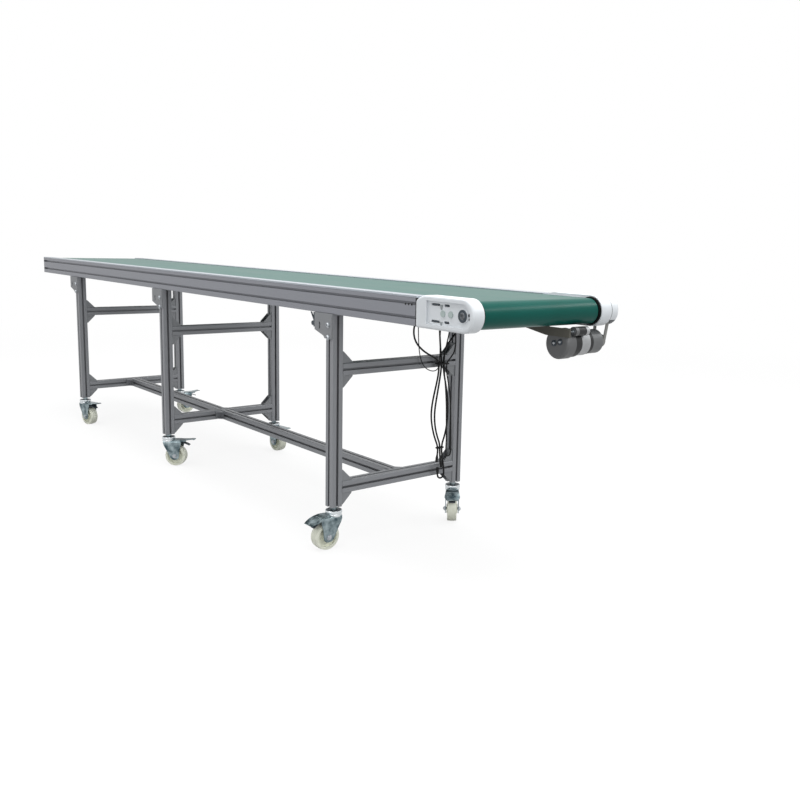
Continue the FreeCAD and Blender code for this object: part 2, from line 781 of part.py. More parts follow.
def stretcher_brackets():
    """Brackets lying flat in the corners between stretchers and lower crossbars."""
    brackets = []
    half = profile_size / 2.0
    for index, x in enumerate(leg_x):
        for ahead in (1.0, -1.0):
            if (index == 0 and ahead < 0) or (index == len(leg_x) - 1 and ahead > 0):
                continue
            for _, side in SIDES:
                bracket = angle_bracket(stretcher_bracket_leg)
                bracket.rotate(V(0, 0, 0), V(0, 1, 0), 90)
                if ahead < 0:
                    bracket = bracket.mirror(V(0, 0, 0), V(1, 0, 0))
                if side < 0:
                    bracket = bracket.mirror(V(0, 0, 0), V(0, 1, 0))
                bracket.translate(V(x + ahead * half, side * half, lower_bar_z))
                brackets.append(bracket)
    return brackets


def rail_plate(x, side):
    """The plate on a leg's outer face and under the rail, with a wing towards the tail."""
    half = profile_size / 2.0
    left = x - half - plate_wing
    right = x + half
    top = rail_bottom
    low = rail_bottom - plate_drop
    outline = [V(left, 0, top), V(right, 0, top), V(right, 0, low), V(x - half, 0, low),
               V(x - half - plate_wing * 0.15, 0, low + plate_taper * 0.35),
               V(left, 0, low + plate_taper)]
    face = polygon(outline)
    outer = side * (half_width + plate_thickness)
    y0 = min(side * half_width, outer)
    y1 = max(side * half_width, outer)
    plate = plate_along_y(face, y0, y1)
    slot_x = left + (plate_wing - plate_slot_width) / 2.0
    slot_z = top - plate_drop / 2.0
    slot = box(slot_x, slot_x + plate_slot_width, y0 - 1, y1 + 1,
               slot_z - plate_slot_length / 2.0, slot_z + plate_slot_length / 2.0)
    plate = plate.cut(slot)
    inner = side * (leg_line - half)
    flange = box(left, right, min(inner, side * half_width), max(inner, side * half_width),
                 leg_top, rail_bottom)
    return plate.fuse(flange).removeSplitter()


# ---- cables --------------------------------------------------------------------------------
head_leg_x = leg_x[2]
leg_front_x = head_leg_x + profile_size / 2.0
duct_x = leg_front_x + duct_offset
duct_bottom = rail_bottom + duct_rise
thin_cable_x = leg_front_x + 9.5
cable_x = leg_front_x + 17.0
loop_cable_x = leg_front_x + 25.0


def cable_duct():
    """The duct between the rails that the cables hang out of."""
    half = duct_width / 2.0
    high = duct_bottom + duct_height
    tube = box(duct_x - half, duct_x + half, -inner_half, inner_half, duct_bottom, high)
    inside = box(duct_x - half + duct_wall, duct_x + half - duct_wall, -inner_half - 1,
                 inner_half + 1, duct_bottom + duct_wall, high - duct_wall)
    return tube.cut(inside)


# each cable's route, (y, z) downwards from the duct
front_cable_route = [(45, 780), (45, 758), (37, 735), (32, 711), (36, 686), (49, 664), (70, 645),
                     (95, 629), (119, 618), (137, 608), (147, 594), (149, 575), (145, 544),
                     (137, 512), (128, 478), (121, 445), (118, 413), (121, 381), (129, 349),
                     (139, 321), (148, 302), (152, 287), (152, 273), (150.5, 260)]
middle_cable_route = [(148.5, 780), (148.5, 751), (147, 715), (150, 680), (153, 648), (158, 618),
                      (160, 590), (158, 562), (153, 531), (147, 498), (140, 462), (134, 425),
                      (134, 390), (140, 355), (150, 326), (159, 306), (161.5, 289), (162, 271), (163.5, 254),
                      (166.5, 238)]
back_cable_route = [(229, 780), (229, 757), (233, 732), (230, 708), (217, 688), (197, 670),
                    (180, 648), (171, 620), (168.5, 590), (171, 561), (178, 531), (186, 498),
                    (192, 462), (195, 425), (194, 388), (189, 353), (181, 324), (173, 305),
                    (170.5, 288), (171, 270), (173.5, 250), (178.5, 229), (182.5, 210),
                    (183, 193), (180, 182), (172, 175), (162, 175), (155.5, 182), (154, 193)]
loop_cable_route = [(207, 780), (207, 751), (211, 716), (216, 683), (217, 652), (210, 627),
                    (196, 611), (184, 600), (177, 585), (177, 565), (182, 541), (190, 510),
                    (197, 474), (201, 434), (203, 394), (204, 352), (206, 315), (206, 286),
                    (205, 264), (199.5, 254.5), (190.5, 254.5), (185, 263), (184, 286),
                    (185, 315), (184, 352), (182, 394), (181, 434), (178, 474), (174, 511),
                    (169, 545), (166.5, 574), (165, 601), (167, 629), (174, 656), (182, 684),
                    (188, 715), (191, 748), (191, 780)]
thin_cable_route = [(57, 780), (57, 752), (58.5, 719), (60, 685), (63, 651), (68, 622), (78, 597),
                    (93, 579), (112, 568), (133, 564), (148, 569), (155.5, 583), (158, 602),
                    (158, 632), (156.5, 667), (158, 704), (160, 742), (160, 780)]
bundle_right_y = 130.0        # the ties hold what passes them between these two lines
bundle_left_y = 200.0
upper_tie_z = 590.0
lower_tie_z = 288.0


def cord_tube(x, route, diameter):
    """A round cord in the plane at x: straight runs joined by the largest tangent arcs."""
    points = [V(x, y, z) for y, z in route]
    edges = []
    start = points[0]
    radii = []
    for index in range(1, len(points) - 1):
        corner = points[index]
        back = points[index - 1].sub(corner)
        ahead = points[index + 1].sub(corner)
        reach = 0.45 * min(back.Length, ahead.Length)
        half_turn = (math.pi - back.getAngle(ahead)) / 2.0
        back.normalize()
        ahead.normalize()
        arc_start = corner.add(back * reach)
        arc_end = corner.add(ahead * reach)
        radius = reach / math.tan(half_turn)
        inwards = back.add(ahead)
        inwards.normalize()
        through = corner.add(inwards * (radius / math.cos(half_turn) - radius))
        edges.append(Part.LineSegment(start, arc_start).toShape())
        edges.append(Part.Arc(arc_start, through, arc_end).toShape())
        start = arc_end
        radii.append(radius)
    edges.append(Part.LineSegment(start, points[-1]).toShape())
    path = Part.Wire(edges)
    along = points[1].sub(points[0])
    section = Part.Wire(Part.makeCircle(diameter / 2.0, points[0], along))
    tube = path.makePipeShell([section], True, True)
    straight_volume = math.pi * diameter * diameter / 4.0 * path.Length
    print("cord", round(path.Length, 1), "mm, radii", [round(radius) for radius in radii],
          "volume ratio", round(tube.Volume / straight_volume, 4))
    return tube


def cord_plug(x, route):
    """The round plug on a cable's lower end, in line with its last run."""
    y0, z0 = route[-2]
    y1, z1 = route[-1]
    along = V(0, y1 - y0, z1 - z0)
    along.normalize()
    start = V(x, y1, z1)
    return rod(plug_radius, start, start.add(along * plug_length))


def cable_tie(z, tubes):
    """A band round the tubes that pass it at z."""
    low = z - cable_tie_height / 2.0
    high = z + cable_tie_height / 2.0
    slab = box(leg_front_x, leg_front_x + 100, bundle_right_y, bundle_left_y, low, high)
    held = Part.makeCompound([tube.common(slab) for tube in tubes]).BoundBox
    gap = cable_tie_gap
    wall = cable_tie_gap + cable_tie_wall
    band = box(held.XMin - wall, held.XMax + wall, held.YMin - wall, held.YMax + wall, low, high)
    return band.cut(box(held.XMin - gap, held.XMax + gap, held.YMin - gap, held.YMax + gap,
                        low - 1, high + 1))


def rail_clip():
    """A small black clip at the tail edge of the right head rail plate, with a round knob."""
    edge = head_leg_x - profile_size / 2.0 - plate_wing
    back = edge - clip_width
    high = rail_bottom - clip_gap
    low = rail_bottom - clip_length
    y0 = -half_width - plate_thickness
    y1 = y0 + clip_depth
    bar = box(back, edge, y0, y1, low, high)
    strut = plate_along_y(polygon([V(back - clip_reach, 0, high),
                                   V(back - clip_reach + clip_strut, 0, high),
                                   V(back + 1, 0, low + clip_length * 0.55),
                                   V(back + 1, 0, low + clip_length * 0.42)]), y0, y0 + clip_strut)
    knob_x = back - clip_knob_radius + 2.0
    knob_z = low + clip_knob_radius + 4.0
    knob = rod(clip_knob_radius, V(knob_x, y0, knob_z), V(knob_x, y1, knob_z))
    return bar.fuse([strut, knob])


# ---- castors -------------------------------------------------------------------------------
def castor_stem(x, y):
    """Stem in the leg's bore, nut under the leg and the fixed upper race."""
    stem = rod(stem_radius, V(x, y, swivel_split_z), V(x, y, leg_bottom + stem_insert))
    race = rod(upper_race_radius, V(x, y, swivel_split_z), V(x, y, castor_height))
    corners = []
    for index in range(6):
        turn = math.radians(60.0 * index)
        corners.append(V(x + nut_radius * math.cos(turn), y + nut_radius * math.sin(turn),
                         castor_height))
    nut = polygon(corners).extrude(V(0, 0, stem_gap))
    return stem.fuse([race, nut])


def castor_fork():
    """Swivel crown, both fork plates, the axle and the brake pedals: swivel axis on Z, trail +X."""
    axle_x = castor_trail
    low = wheel_radius
    shoulder = crown_top - fork_shoulder
    side = polygon([V(-fork_back, 0, crown_top), V(-fork_back, 0, shoulder),
                    V(axle_x - fork_boss_radius * 0.9, 0, low - fork_boss_radius * 0.4),
                    V(axle_x + fork_boss_radius, 0, low), V(fork_front, 0, shoulder),
                    V(fork_front, 0, crown_top)])
    pieces = []
    for y0, y1 in ((fork_inner, fork_outer), (-fork_outer, -fork_inner)):
        pieces.append(plate_along_y(side, y0, y1))
        pieces.append(rod(fork_boss_radius, V(axle_x, y0, low), V(axle_x, y1, low)))
    pieces.append(box(-fork_back, fork_front, -fork_outer, fork_outer,
                      crown_top - crown_thickness, crown_top))
    pieces.append(rod(lower_race_radius, V(0, 0, crown_top), V(0, 0, swivel_split_z - race_gap)))
    pieces.append(rod(axle_radius, V(axle_x, -fork_outer, low), V(axle_x, fork_outer, low)))
    for end in (1.0, -1.0):
        pieces.append(rod(axle_head_radius, V(axle_x, end * fork_outer, low),
                          V(axle_x, end * (fork_outer + axle_head_height), low)))
    start = lower_race_radius * 0.5
    pedal = polygon([V(start, 0, crown_top), V(fork_front, 0, crown_top),
                     V(pedal_reach, 0, crown_top + pedal_rise - pedal_thickness),
                     V(pedal_reach, 0, crown_top + pedal_rise),
                     V(fork_front, 0, crown_top + pedal_thickness),
                     V(start, 0, crown_top + pedal_thickness)])
    pieces.append(plate_along_y(pedal, -pedal_width / 2.0, pedal_width / 2.0))
    lip_top = crown_top + pedal_rise + pedal_curl
    pieces.append(box(pedal_reach - pedal_thickness, pedal_reach, -pedal_width / 2.0,
                      pedal_width / 2.0, crown_top + pedal_rise - pedal_thickness, lip_top))
    release = polygon([V(fork_front - 1, 0, crown_top), V(fork_front - 1, 0, crown_top - 4),
                       V(release_reach, 0, crown_top - release_drop - pedal_thickness),
                       V(release_reach, 0, crown_top - release_drop)])
    pieces.append(plate_along_y(release, -release_width / 2.0, release_width / 2.0))
    return pieces[0].fuse(pieces[1:]).removeSplitter()


def castor_wheel():
    """A crowned nylon wheel, turned about its axle; swivel axis on Z, trail +X."""
    bore = axle_radius + bore_clearance
    half = wheel_half
    hub = hub_width / 2.0
    web = web_width / 2.0
    inner_rim = wheel_radius - rim_depth
    shoulder = wheel_radius - wheel_crown
    points = [V(bore, -hub, 0), V(hub_radius, -hub, 0), V(hub_radius, -web, 0),
              V(inner_rim, -web, 0), V(inner_rim, -half, 0), V(shoulder, -half, 0)]
    mirrored = [V(point.x, -point.y, 0) for point in reversed(points)]
    tread = Part.Arc(points[-1], V(wheel_radius, 0, 0), mirrored[0]).toShape()
    first = Part.makePolygon(points).Edges
    second = Part.makePolygon(mirrored + [points[0]]).Edges
    face = Part.Face(Part.Wire(first + [tread] + second))
    wheel = face.revolve(V(0, 0, 0), V(0, 1, 0), 360)
    wheel.translate(V(castor_trail, 0, wheel_radius))
    return wheel


def place_castor(shape, x, y, trail_deg):
    placed = shape.copy()
    placed.rotate(V(0, 0, 0), V(0, 0, 1), trail_deg)
    placed.translate(V(x, y, 0))
    return placed


castor_places = []
for (side_name, side), angles in zip(SIDES, (right_castor_trail_deg, left_castor_trail_deg)):
    for leg_name, x, angle in zip(LEG_NAMES, leg_x, angles):
        castor_places.append((leg_name + "_" + side_name, x, side * leg_line, angle))

# ---- write the nodes -----------------------------------------------------------------------
drum_half = inner_half - drum_end_gap
tail_half = inner_half - tail_block_thickness - drum_end_gap / 2.0
tail_shaft = inner_half
for side_name, side in SIDES:
    save("side_rail_" + side_name, side_rail(side))
save("edge_strips", *[edge_strip(side) for _, side in SIDES])
save("slider_bed", slider_bed())
save("bed_ties", *bed_ties())
save("conveyor_belt", conveyor_belt())
save("drive_drum", drum(head_axis_x, drum_half, -panel_y + shaft_cap_thickness,
                        pulley_start_y + pulley_width))
save("tail_drum", drum(tail_axis_x, tail_half, tail_shaft, tail_shaft))
save("tail_blocks", *[tail_block(side) for _, side in SIDES])
save("return_rollers", *return_rollers())
save("head_housing_right", right_housing())
save("head_housing_left", left_housing())
save("drive_cover", drive_cover())
save("gear_motor", gear_motor())
save("motor_bracket", motor_bracket())
save("drive_pulleys", pulley(motor_x, motor_z, motor_pulley_radius, motor_shaft_radius),
     pulley(head_axis_x, drum_axis_z, drum_pulley_radius, shaft_radius))
save("drive_belt", drive_belt())
save("shaft_cap", shaft_cap())
save("adjuster_screws", *adjuster_screws())
save("pivot_caps", *pivot_caps())
for leg_name, x in zip(LEG_NAMES, leg_x):
    save("legs_" + leg_name, *legs(x))
    save("crossbars_" + leg_name, *crossbars(x))
    save("corner_brackets_" + leg_name, *corner_brackets(x))
save("stretchers", *stretchers())
save("stretcher_brackets", *stretcher_brackets())
save("rail_plates", *[rail_plate(x, side) for _, side in SIDES for x in leg_x])
save("cable_duct", cable_duct())
cords = [cord_tube(cable_x, front_cable_route, cable_diameter),
         cord_tube(cable_x, middle_cable_route, cable_diameter),
         cord_tube(cable_x, back_cable_route, cable_diameter),
         cord_tube(loop_cable_x, loop_cable_route, loop_cable_diameter),
         cord_tube(thin_cable_x, thin_cable_route, thin_cable_diameter)]
for name, tube in zip(["front", "middle", "back", "loop", "thin"], cords):
    save("cord_" + name, tube)
for name, route in [("front", front_cable_route), ("middle", middle_cable_route),
                    ("back", back_cable_route)]:
    save("cord_plug_" + name, cord_plug(cable_x, route))
save("cord_ties", cable_tie(upper_tie_z, cords), cable_tie(lower_tie_z, cords[:3]))
save("rail_clip", rail_clip())
save("castor_stems", *[castor_stem(x, y) for _, x, y, _ in castor_places])
fork = castor_fork()
wheel = castor_wheel()
for name, x, y, angle in castor_places:
    save("castor_fork_" + name, place_castor(fork, x, y, angle))
    save("castor_wheel_" + name, place_castor(wheel, x, y, angle))
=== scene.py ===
"""Mobile belt conveyor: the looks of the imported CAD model. Metres, +X along the belt."""
import json
import math

import bmesh
import bpy
from mathutils import Matrix, Vector


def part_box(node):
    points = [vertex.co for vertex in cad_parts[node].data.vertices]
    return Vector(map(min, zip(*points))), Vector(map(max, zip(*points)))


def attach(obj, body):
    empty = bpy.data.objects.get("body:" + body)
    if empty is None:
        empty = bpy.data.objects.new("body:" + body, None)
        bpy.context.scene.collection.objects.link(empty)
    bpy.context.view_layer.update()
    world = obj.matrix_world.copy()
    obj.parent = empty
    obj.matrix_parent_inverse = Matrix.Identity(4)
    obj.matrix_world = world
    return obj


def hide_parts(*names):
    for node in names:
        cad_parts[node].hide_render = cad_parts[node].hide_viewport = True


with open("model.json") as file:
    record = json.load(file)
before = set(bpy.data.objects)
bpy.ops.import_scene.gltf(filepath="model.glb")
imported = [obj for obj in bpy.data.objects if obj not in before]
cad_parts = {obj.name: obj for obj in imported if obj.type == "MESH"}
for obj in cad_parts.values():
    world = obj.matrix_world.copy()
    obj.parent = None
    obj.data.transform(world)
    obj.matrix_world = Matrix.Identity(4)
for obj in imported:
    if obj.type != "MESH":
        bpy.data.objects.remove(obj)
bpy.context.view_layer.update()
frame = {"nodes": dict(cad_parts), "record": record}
scene = bpy.context.scene
scene.view_settings.view_transform = "Standard"


# ---- studio --------------------------------------------------------------------------------
# A white floor and backdrop under soft lamps: over the belt, off the head end, off the right
# side, and a narrow one that draws the gleam along the belt's nose. The camera stands off the
# head end's right corner, a metre above the floor.
class Socket:
    """A shader value that builds Math nodes when it is used in an expression."""

    def __init__(self, tree, link):
        self.tree = tree
        self.link = link

    def __add__(self, other):
        return Graph(self.tree).maths("ADD", self, other)

    def __radd__(self, other):
        return Graph(self.tree).maths("ADD", other, self)

    def __sub__(self, other):
        return Graph(self.tree).maths("SUBTRACT", self, other)

    def __rsub__(self, other):
        return Graph(self.tree).maths("SUBTRACT", other, self)

    def __mul__(self, other):
        return Graph(self.tree).maths("MULTIPLY", self, other)

    def __rmul__(self, other):
        return Graph(self.tree).maths("MULTIPLY", other, self)

    def __truediv__(self, other):
        return Graph(self.tree).maths("DIVIDE", self, other)

    def __rtruediv__(self, other):
        return Graph(self.tree).maths("DIVIDE", other, self)

    def __lt__(self, other):
        return Graph(self.tree).maths("LESS_THAN", self, other)

    def __gt__(self, other):
        return Graph(self.tree).maths("GREATER_THAN", self, other)


class Graph:
    """A node tree, with one call for every node."""

    def __init__(self, tree):
        self.tree = tree

    def node(self, kind, settings=None, inputs=(), output=0):
        """A node: its settings are made first, then its sockets' values and links.

        A ramp goes from one of its stops to the next in a step.
        """
        made = self.tree.nodes.new(kind)
        for name, value in (settings or {}).items():
            if name == "stops":
                ramp = made.color_ramp
                ramp.interpolation = "CONSTANT"
                while len(ramp.elements) < len(value):
                    ramp.elements.new(0.5)
                for element, (start, tone) in zip(ramp.elements, value):
                    element.position = start
                    element.color = tone
            else:
                setattr(made, name, value)
        pairs = inputs.items() if isinstance(inputs, dict) else enumerate(inputs)
        for name, value in pairs:
            if isinstance(value, Socket):
                self.tree.links.new(value.link, made.inputs[name])
            else:
                made.inputs[name].default_value = value
        return Socket(self.tree, made.outputs[output]) if len(made.outputs) else None

    def maths(self, operation, *values):
        """A Math node's result, which the operators of Socket come to as well."""
        return self.node("ShaderNodeMath", {"operation": operation}, values)

    def mix(self, share, first, second):
        """A colour that goes from the first to the second as share goes from 0 to 1."""
        return self.node("ShaderNodeMix", {"data_type": "RGBA"},
                         {0: share, 6: first, 7: second}, 2)

    def coordinate(self, axis, kind="Object"):
        """How far a point is along one axis."""
        return self.node("ShaderNodeSeparateXYZ", {},
                         [self.node("ShaderNodeTexCoord", output=kind)], axis)

    def stretched(self, scale):
        """Object coordinates times scale: one number, or one for each axis."""
        factors = scale if isinstance(scale, tuple) else (scale, scale, scale)
        coordinates = self.node("ShaderNodeTexCoord", output="Object")
        return self.node("ShaderNodeMapping", {}, {"Vector": coordinates, "Scale": factors})

    def noise(self, scale, detail=3.0):
        """Noise from 0 to 1: scale is how many grains a metre, and may differ by axis."""
        return self.node("ShaderNodeTexNoise", {},
                         {"Vector": self.stretched(scale), "Scale": 1.0, "Detail": detail,
                          "Roughness": 0.55})

    def bump(self, height, distance, strength):
        """A normal that rises with height, at most by distance."""
        return self.node("ShaderNodeBump", {},
                         {"Height": height, "Distance": distance, "Strength": strength})

    def surface(self, **inputs):
        """The Principled shader with these inputs, as the material's surface."""
        names = {name.replace("_", " "): value for name, value in inputs.items()}
        shader = self.node("ShaderNodeBsdfPrincipled", {}, names)
        self.node("ShaderNodeOutputMaterial", {}, {"Surface": shader})


def material(name):
    """A new empty material and its graph."""
    made = bpy.data.materials.new(name)
    made.use_nodes = True
    made.node_tree.nodes.clear()
    return made, Graph(made.node_tree)


eye = Vector((3.4610, -1.7959, 1.0117))
yaw = math.radians(47.902)
pitch = math.radians(9.186)
roll = math.radians(1.761)
forward = Vector((-math.sin(yaw) * math.cos(pitch), math.cos(yaw) * math.cos(pitch),
                  -math.sin(pitch)))
level = forward.cross(Vector((0.0, 0.0, 1.0))).normalized()
upright = level.cross(forward)
right = level * math.cos(roll) + upright * math.sin(roll)
up = upright * math.cos(roll) - level * math.sin(roll)
camera_data = bpy.data.cameras.new("camera")
camera_data.sensor_width = 36.0
camera_data.lens = 38.88
camera_data.shift_x = -0.0838
camera_data.shift_y = -0.0234
camera_data.clip_end = 100.0
camera = bpy.data.objects.new("camera", camera_data)
camera.matrix_world = Matrix.Translation(eye) @ Matrix((
    (right.x, up.x, -forward.x, 0.0), (right.y, up.y, -forward.y, 0.0),
    (right.z, up.z, -forward.z, 0.0), (0.0, 0.0, 0.0, 1.0)))
scene.collection.objects.link(camera)
scene.camera = camera

white = (1.0, 1.0, 1.0, 1.0)
horizon_light = 0.3
zenith_gain = 0.55
world = bpy.data.worlds.new("studio")
world.use_nodes = True
world.node_tree.nodes.clear()
scene.world = world
sky = Graph(world.node_tree)
direct = sky.node("ShaderNodeLightPath", output="Is Camera Ray")
glossy = sky.node("ShaderNodeLightPath", output="Is Glossy Ray")
through = sky.node("ShaderNodeLightPath", output="Is Transmission Ray")
seen = sky.maths("MAXIMUM", sky.maths("MAXIMUM", direct, glossy), through)
height = sky.coordinate("Z", "Generated")
ambient = horizon_light + sky.maths("MAXIMUM", height, 0.0) * zenith_gain
backdrop = sky.node("ShaderNodeBackground", {},
                    {"Color": white, "Strength": ambient + seen * (1.0 - ambient)})
sky.node("ShaderNodeOutputWorld", {}, {"Surface": backdrop})

floor_reach = 60.0
floor_corners = [(x * floor_reach, y * floor_reach, 0.0)
                 for x, y in ((-1, -1), (1, -1), (1, 1), (-1, 1))]
floor_mesh = bpy.data.meshes.new("studio_floor")
floor_mesh.from_pydata(floor_corners, [], [(0, 1, 2, 3)])
floor = bpy.data.objects.new("studio_floor", floor_mesh)
scene.collection.objects.link(floor)
paper, graph = material("studio_paper")
direct = graph.node("ShaderNodeLightPath", output="Is Camera Ray")
glossy = graph.node("ShaderNodeLightPath", output="Is Glossy Ray")
paper_tone = graph.mix(direct, (0.36, 0.36, 0.36, 1.0), (0.94, 0.94, 0.94, 1.0))
diffuse = graph.node("ShaderNodeBsdfDiffuse", {}, {"Color": paper_tone})
glow = graph.node("ShaderNodeEmission", {}, {"Color": white, "Strength": 1.0})
from_middle = graph.node("ShaderNodeVectorMath", {"operation": "LENGTH"},
                         [graph.node("ShaderNodeTexCoord", output="Object")], "Value")
fade = graph.node("ShaderNodeMapRange", {"interpolation_type": "SMOOTHSTEP"},
                  {"Value": from_middle, "From Min": 1.5, "From Max": 7.0, "To Min": 0.85,
                   "To Max": 1.0})
glowing = graph.maths("MAXIMUM", direct, glossy) * fade
blended = graph.node("ShaderNodeMixShader", {}, {0: glowing, 1: diffuse, 2: glow})
graph.node("ShaderNodeOutputMaterial", {}, {"Surface": blended})
floor_mesh.materials.append(paper)


def lamp(name, place, target, size, watts):
    """A soft rectangular lamp, turned to its target."""
    data = bpy.data.lights.new(name, "AREA")
    data.shape = "RECTANGLE"
    data.size, data.size_y = size
    data.energy = watts
    made = bpy.data.objects.new(name, data)
    made.location = place
    made.rotation_euler = (Vector(target) - Vector(place)).to_track_quat("-Z", "Y").to_euler()
    scene.collection.objects.link(made)


lamp("overhead_lamp", (0.3, 0.0, 4.2), (0.3, 0.0, 0.0), size=(5.0, 4.0), watts=230.0)
lamp("head_lamp", (5.5, -0.6, 2.8), (1.0, 0.0, 0.6), size=(3.0, 2.0), watts=60.0)
lamp("side_lamp", (2.4, -5.0, 2.3), (1.0, 0.0, 0.6), size=(3.5, 2.0), watts=52.0)
lamp("strip_lamp", (3.2, 2.5, 2.8), (1.8, 0.0, 0.84), size=(3.2, 0.14), watts=34.0)


# ---- cables at the head legs ---------------------------------------------------------------
# Four limp cables in black plastic jackets hang from the duct between the rails, down in front
# of the head legs' crossbars, and beside them a black strand loops down to the lower bracket:
# that strand, cord_loop, is painted shade, the line of shade along the head leg's flange and
# round the top of its corner bracket. Two plastic bands tie them together, and three of the
# cables end in a moulded round plug.
def colour(red, green, blue):
    """A colour from its eight-bit values, as the shaders want it."""
    values = []
    for value in (red, green, blue):
        share = value / 255.0
        values.append(share / 12.92 if share <= 0.04045 else ((share + 0.055) / 1.055) ** 2.4)
    return (*values, 1.0)


def grained(name, grains, dark, light, roughness, spread=0.0, relief=None, detail=3.0,
            contrast=1.0, **fixed):
    """A finish whose tone goes from dark to light with its grain.

    The grain also adds up to spread to the roughness, and its relief is (distance, strength).
    A contrast over 1 makes the change of tone steeper. What is fixed is the same all over.
    """
    finish, graph = material(name)
    grain = graph.noise(grains, detail)
    share = grain if contrast == 1.0 else grain * contrast + (1.0 - contrast) / 2.0
    if relief:
        fixed["Normal"] = graph.bump(grain, *relief)
    graph.surface(Base_Color=graph.mix(share, colour(*dark), colour(*light)),
                  Roughness=roughness + grain * spread if spread else roughness, **fixed)
    return finish


def dress(finish, *nodes):
    """Gives CAD nodes a finish."""
    for node in nodes:
        for held in frame["nodes"][node].material_slots:
            held.material = finish


def new_piece(name, data, finish, body="root"):
    """A new piece in its finish, that rides on a body."""
    made = bpy.data.objects.new(name, data)
    scene.collection.objects.link(made)
    data.materials.append(finish)
    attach(made, body)
    return made


jacket = grained("cable_jacket", (90.0, 90.0, 60.0), (6, 6, 7), (20, 20, 22), roughness=0.5,
                 spread=0.18, relief=(0.0003, 0.4), Specular_IOR_Level=0.25)


def cable(name, x, route, diameter):
    """A cable in the plane at x, through its route of (y, z) in metres."""
    curve = bpy.data.curves.new(name, "CURVE")
    curve.dimensions = "3D"
    spline = curve.splines.new("NURBS")
    spline.points.add(len(route) - 1)
    for point, (y, z) in zip(spline.points, route):
        point.co = (x, y, z, 1.0)
    spline.order_u = 3
    spline.use_endpoint_u = True
    curve.resolution_u = 8
    curve.bevel_depth = diameter / 2.0
    curve.bevel_resolution = 3
    curve.use_fill_caps = True
    made = new_piece(name, curve, jacket)
    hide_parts(name)


front_route = [(0.045, 0.780), (0.045, 0.758), (0.037, 0.735), (0.032, 0.711), (0.036, 0.686),
               (0.049, 0.664), (0.070, 0.645), (0.095, 0.629), (0.119, 0.618), (0.137, 0.608),
               (0.147, 0.594), (0.149, 0.575), (0.145, 0.544), (0.137, 0.512), (0.128, 0.478),
               (0.121, 0.445), (0.118, 0.413), (0.121, 0.381), (0.129, 0.349), (0.139, 0.321),
               (0.148, 0.302), (0.152, 0.287), (0.152, 0.273), (0.1505, 0.260)]
middle_route = [(0.1485, 0.780), (0.1485, 0.751), (0.147, 0.715), (0.150, 0.680), (0.153, 0.648),
                (0.158, 0.618), (0.160, 0.590), (0.158, 0.562), (0.153, 0.531), (0.147, 0.498),
                (0.140, 0.462), (0.134, 0.425), (0.134, 0.390), (0.140, 0.355), (0.150, 0.326),
                (0.159, 0.306), (0.1615, 0.289), (0.162, 0.271), (0.1635, 0.254),
                (0.1665, 0.238)]
back_route = [(0.229, 0.780), (0.229, 0.757), (0.233, 0.732), (0.230, 0.708), (0.217, 0.688),
              (0.197, 0.670), (0.180, 0.648), (0.171, 0.620), (0.1685, 0.590), (0.171, 0.561),
              (0.178, 0.531), (0.186, 0.498), (0.192, 0.462), (0.195, 0.425), (0.194, 0.388),
              (0.189, 0.353), (0.181, 0.324), (0.173, 0.305), (0.1705, 0.288), (0.171, 0.270),
              (0.1735, 0.250), (0.1785, 0.229), (0.182, 0.210), (0.183, 0.196), (0.183, 0.1835),
              (0.1745, 0.175), (0.1625, 0.175), (0.154, 0.1835), (0.154, 0.193)]
# the cord_loop strand follows a line of shade down the leg's flange: it is painted shade, not a
# cable
shade_line_route = [(0.207, 0.780), (0.207, 0.751), (0.211, 0.716), (0.216, 0.683), (0.217, 0.652),
              (0.210, 0.627), (0.196, 0.611), (0.184, 0.600), (0.177, 0.585), (0.177, 0.565),
              (0.182, 0.541), (0.190, 0.510), (0.197, 0.474), (0.201, 0.434), (0.203, 0.394),
              (0.204, 0.352), (0.206, 0.315), (0.206, 0.286), (0.206, 0.261), (0.1996, 0.2545),
              (0.1904, 0.2545), (0.184, 0.261), (0.184, 0.286), (0.185, 0.315), (0.184, 0.352),
              (0.182, 0.394), (0.181, 0.434), (0.178, 0.474), (0.174, 0.511), (0.169, 0.545),
              (0.1665, 0.574), (0.165, 0.601), (0.167, 0.629), (0.174, 0.656), (0.182, 0.684),
              (0.188, 0.715), (0.191, 0.748), (0.191, 0.780)]
thin_route = [(0.057, 0.780), (0.057, 0.752), (0.0585, 0.719), (0.060, 0.685), (0.063, 0.651),
              (0.068, 0.622), (0.078, 0.597), (0.093, 0.579), (0.112, 0.568), (0.133, 0.564),
              (0.148, 0.569), (0.1555, 0.583), (0.158, 0.602), (0.158, 0.632), (0.1565, 0.667),
              (0.158, 0.704), (0.160, 0.742), (0.160, 0.780)]


def spun(outline, places, steps=28):
    """Round forms spun about their axes, one for each (foot, axis) in places.

    The outline is (radius, height) from the foot up, and (radius, height, 6) on a hexagon.
    """
    mesh = bmesh.new()
    for foot, axis in places:
        turn = Vector(axis).to_track_quat("Z", "Y")
        rings = []
        for radius, height, *sides in outline:
            ring = []
            for step in range(steps if radius else 1):
                angle = 2.0 * math.pi * step / steps
                reach = radius
                if sides:
                    half = math.pi / sides[0]
                    reach = radius * math.cos(half) / math.cos(angle % (2.0 * half) - half)
                spot = Vector((reach * math.cos(angle), reach * math.sin(angle), height))
                ring.append(mesh.verts.new(Vector(foot) + turn @ spot))
            rings.append(ring)
        for lower, upper in zip(rings, rings[1:]):
            for step in range(steps):
                after = (step + 1) % steps
                corners = [lower[step % len(lower)], lower[after % len(lower)],
                           upper[after % len(upper)], upper[step % len(upper)]]
                mesh.faces.new(list(dict.fromkeys(corners)))
    return mesh


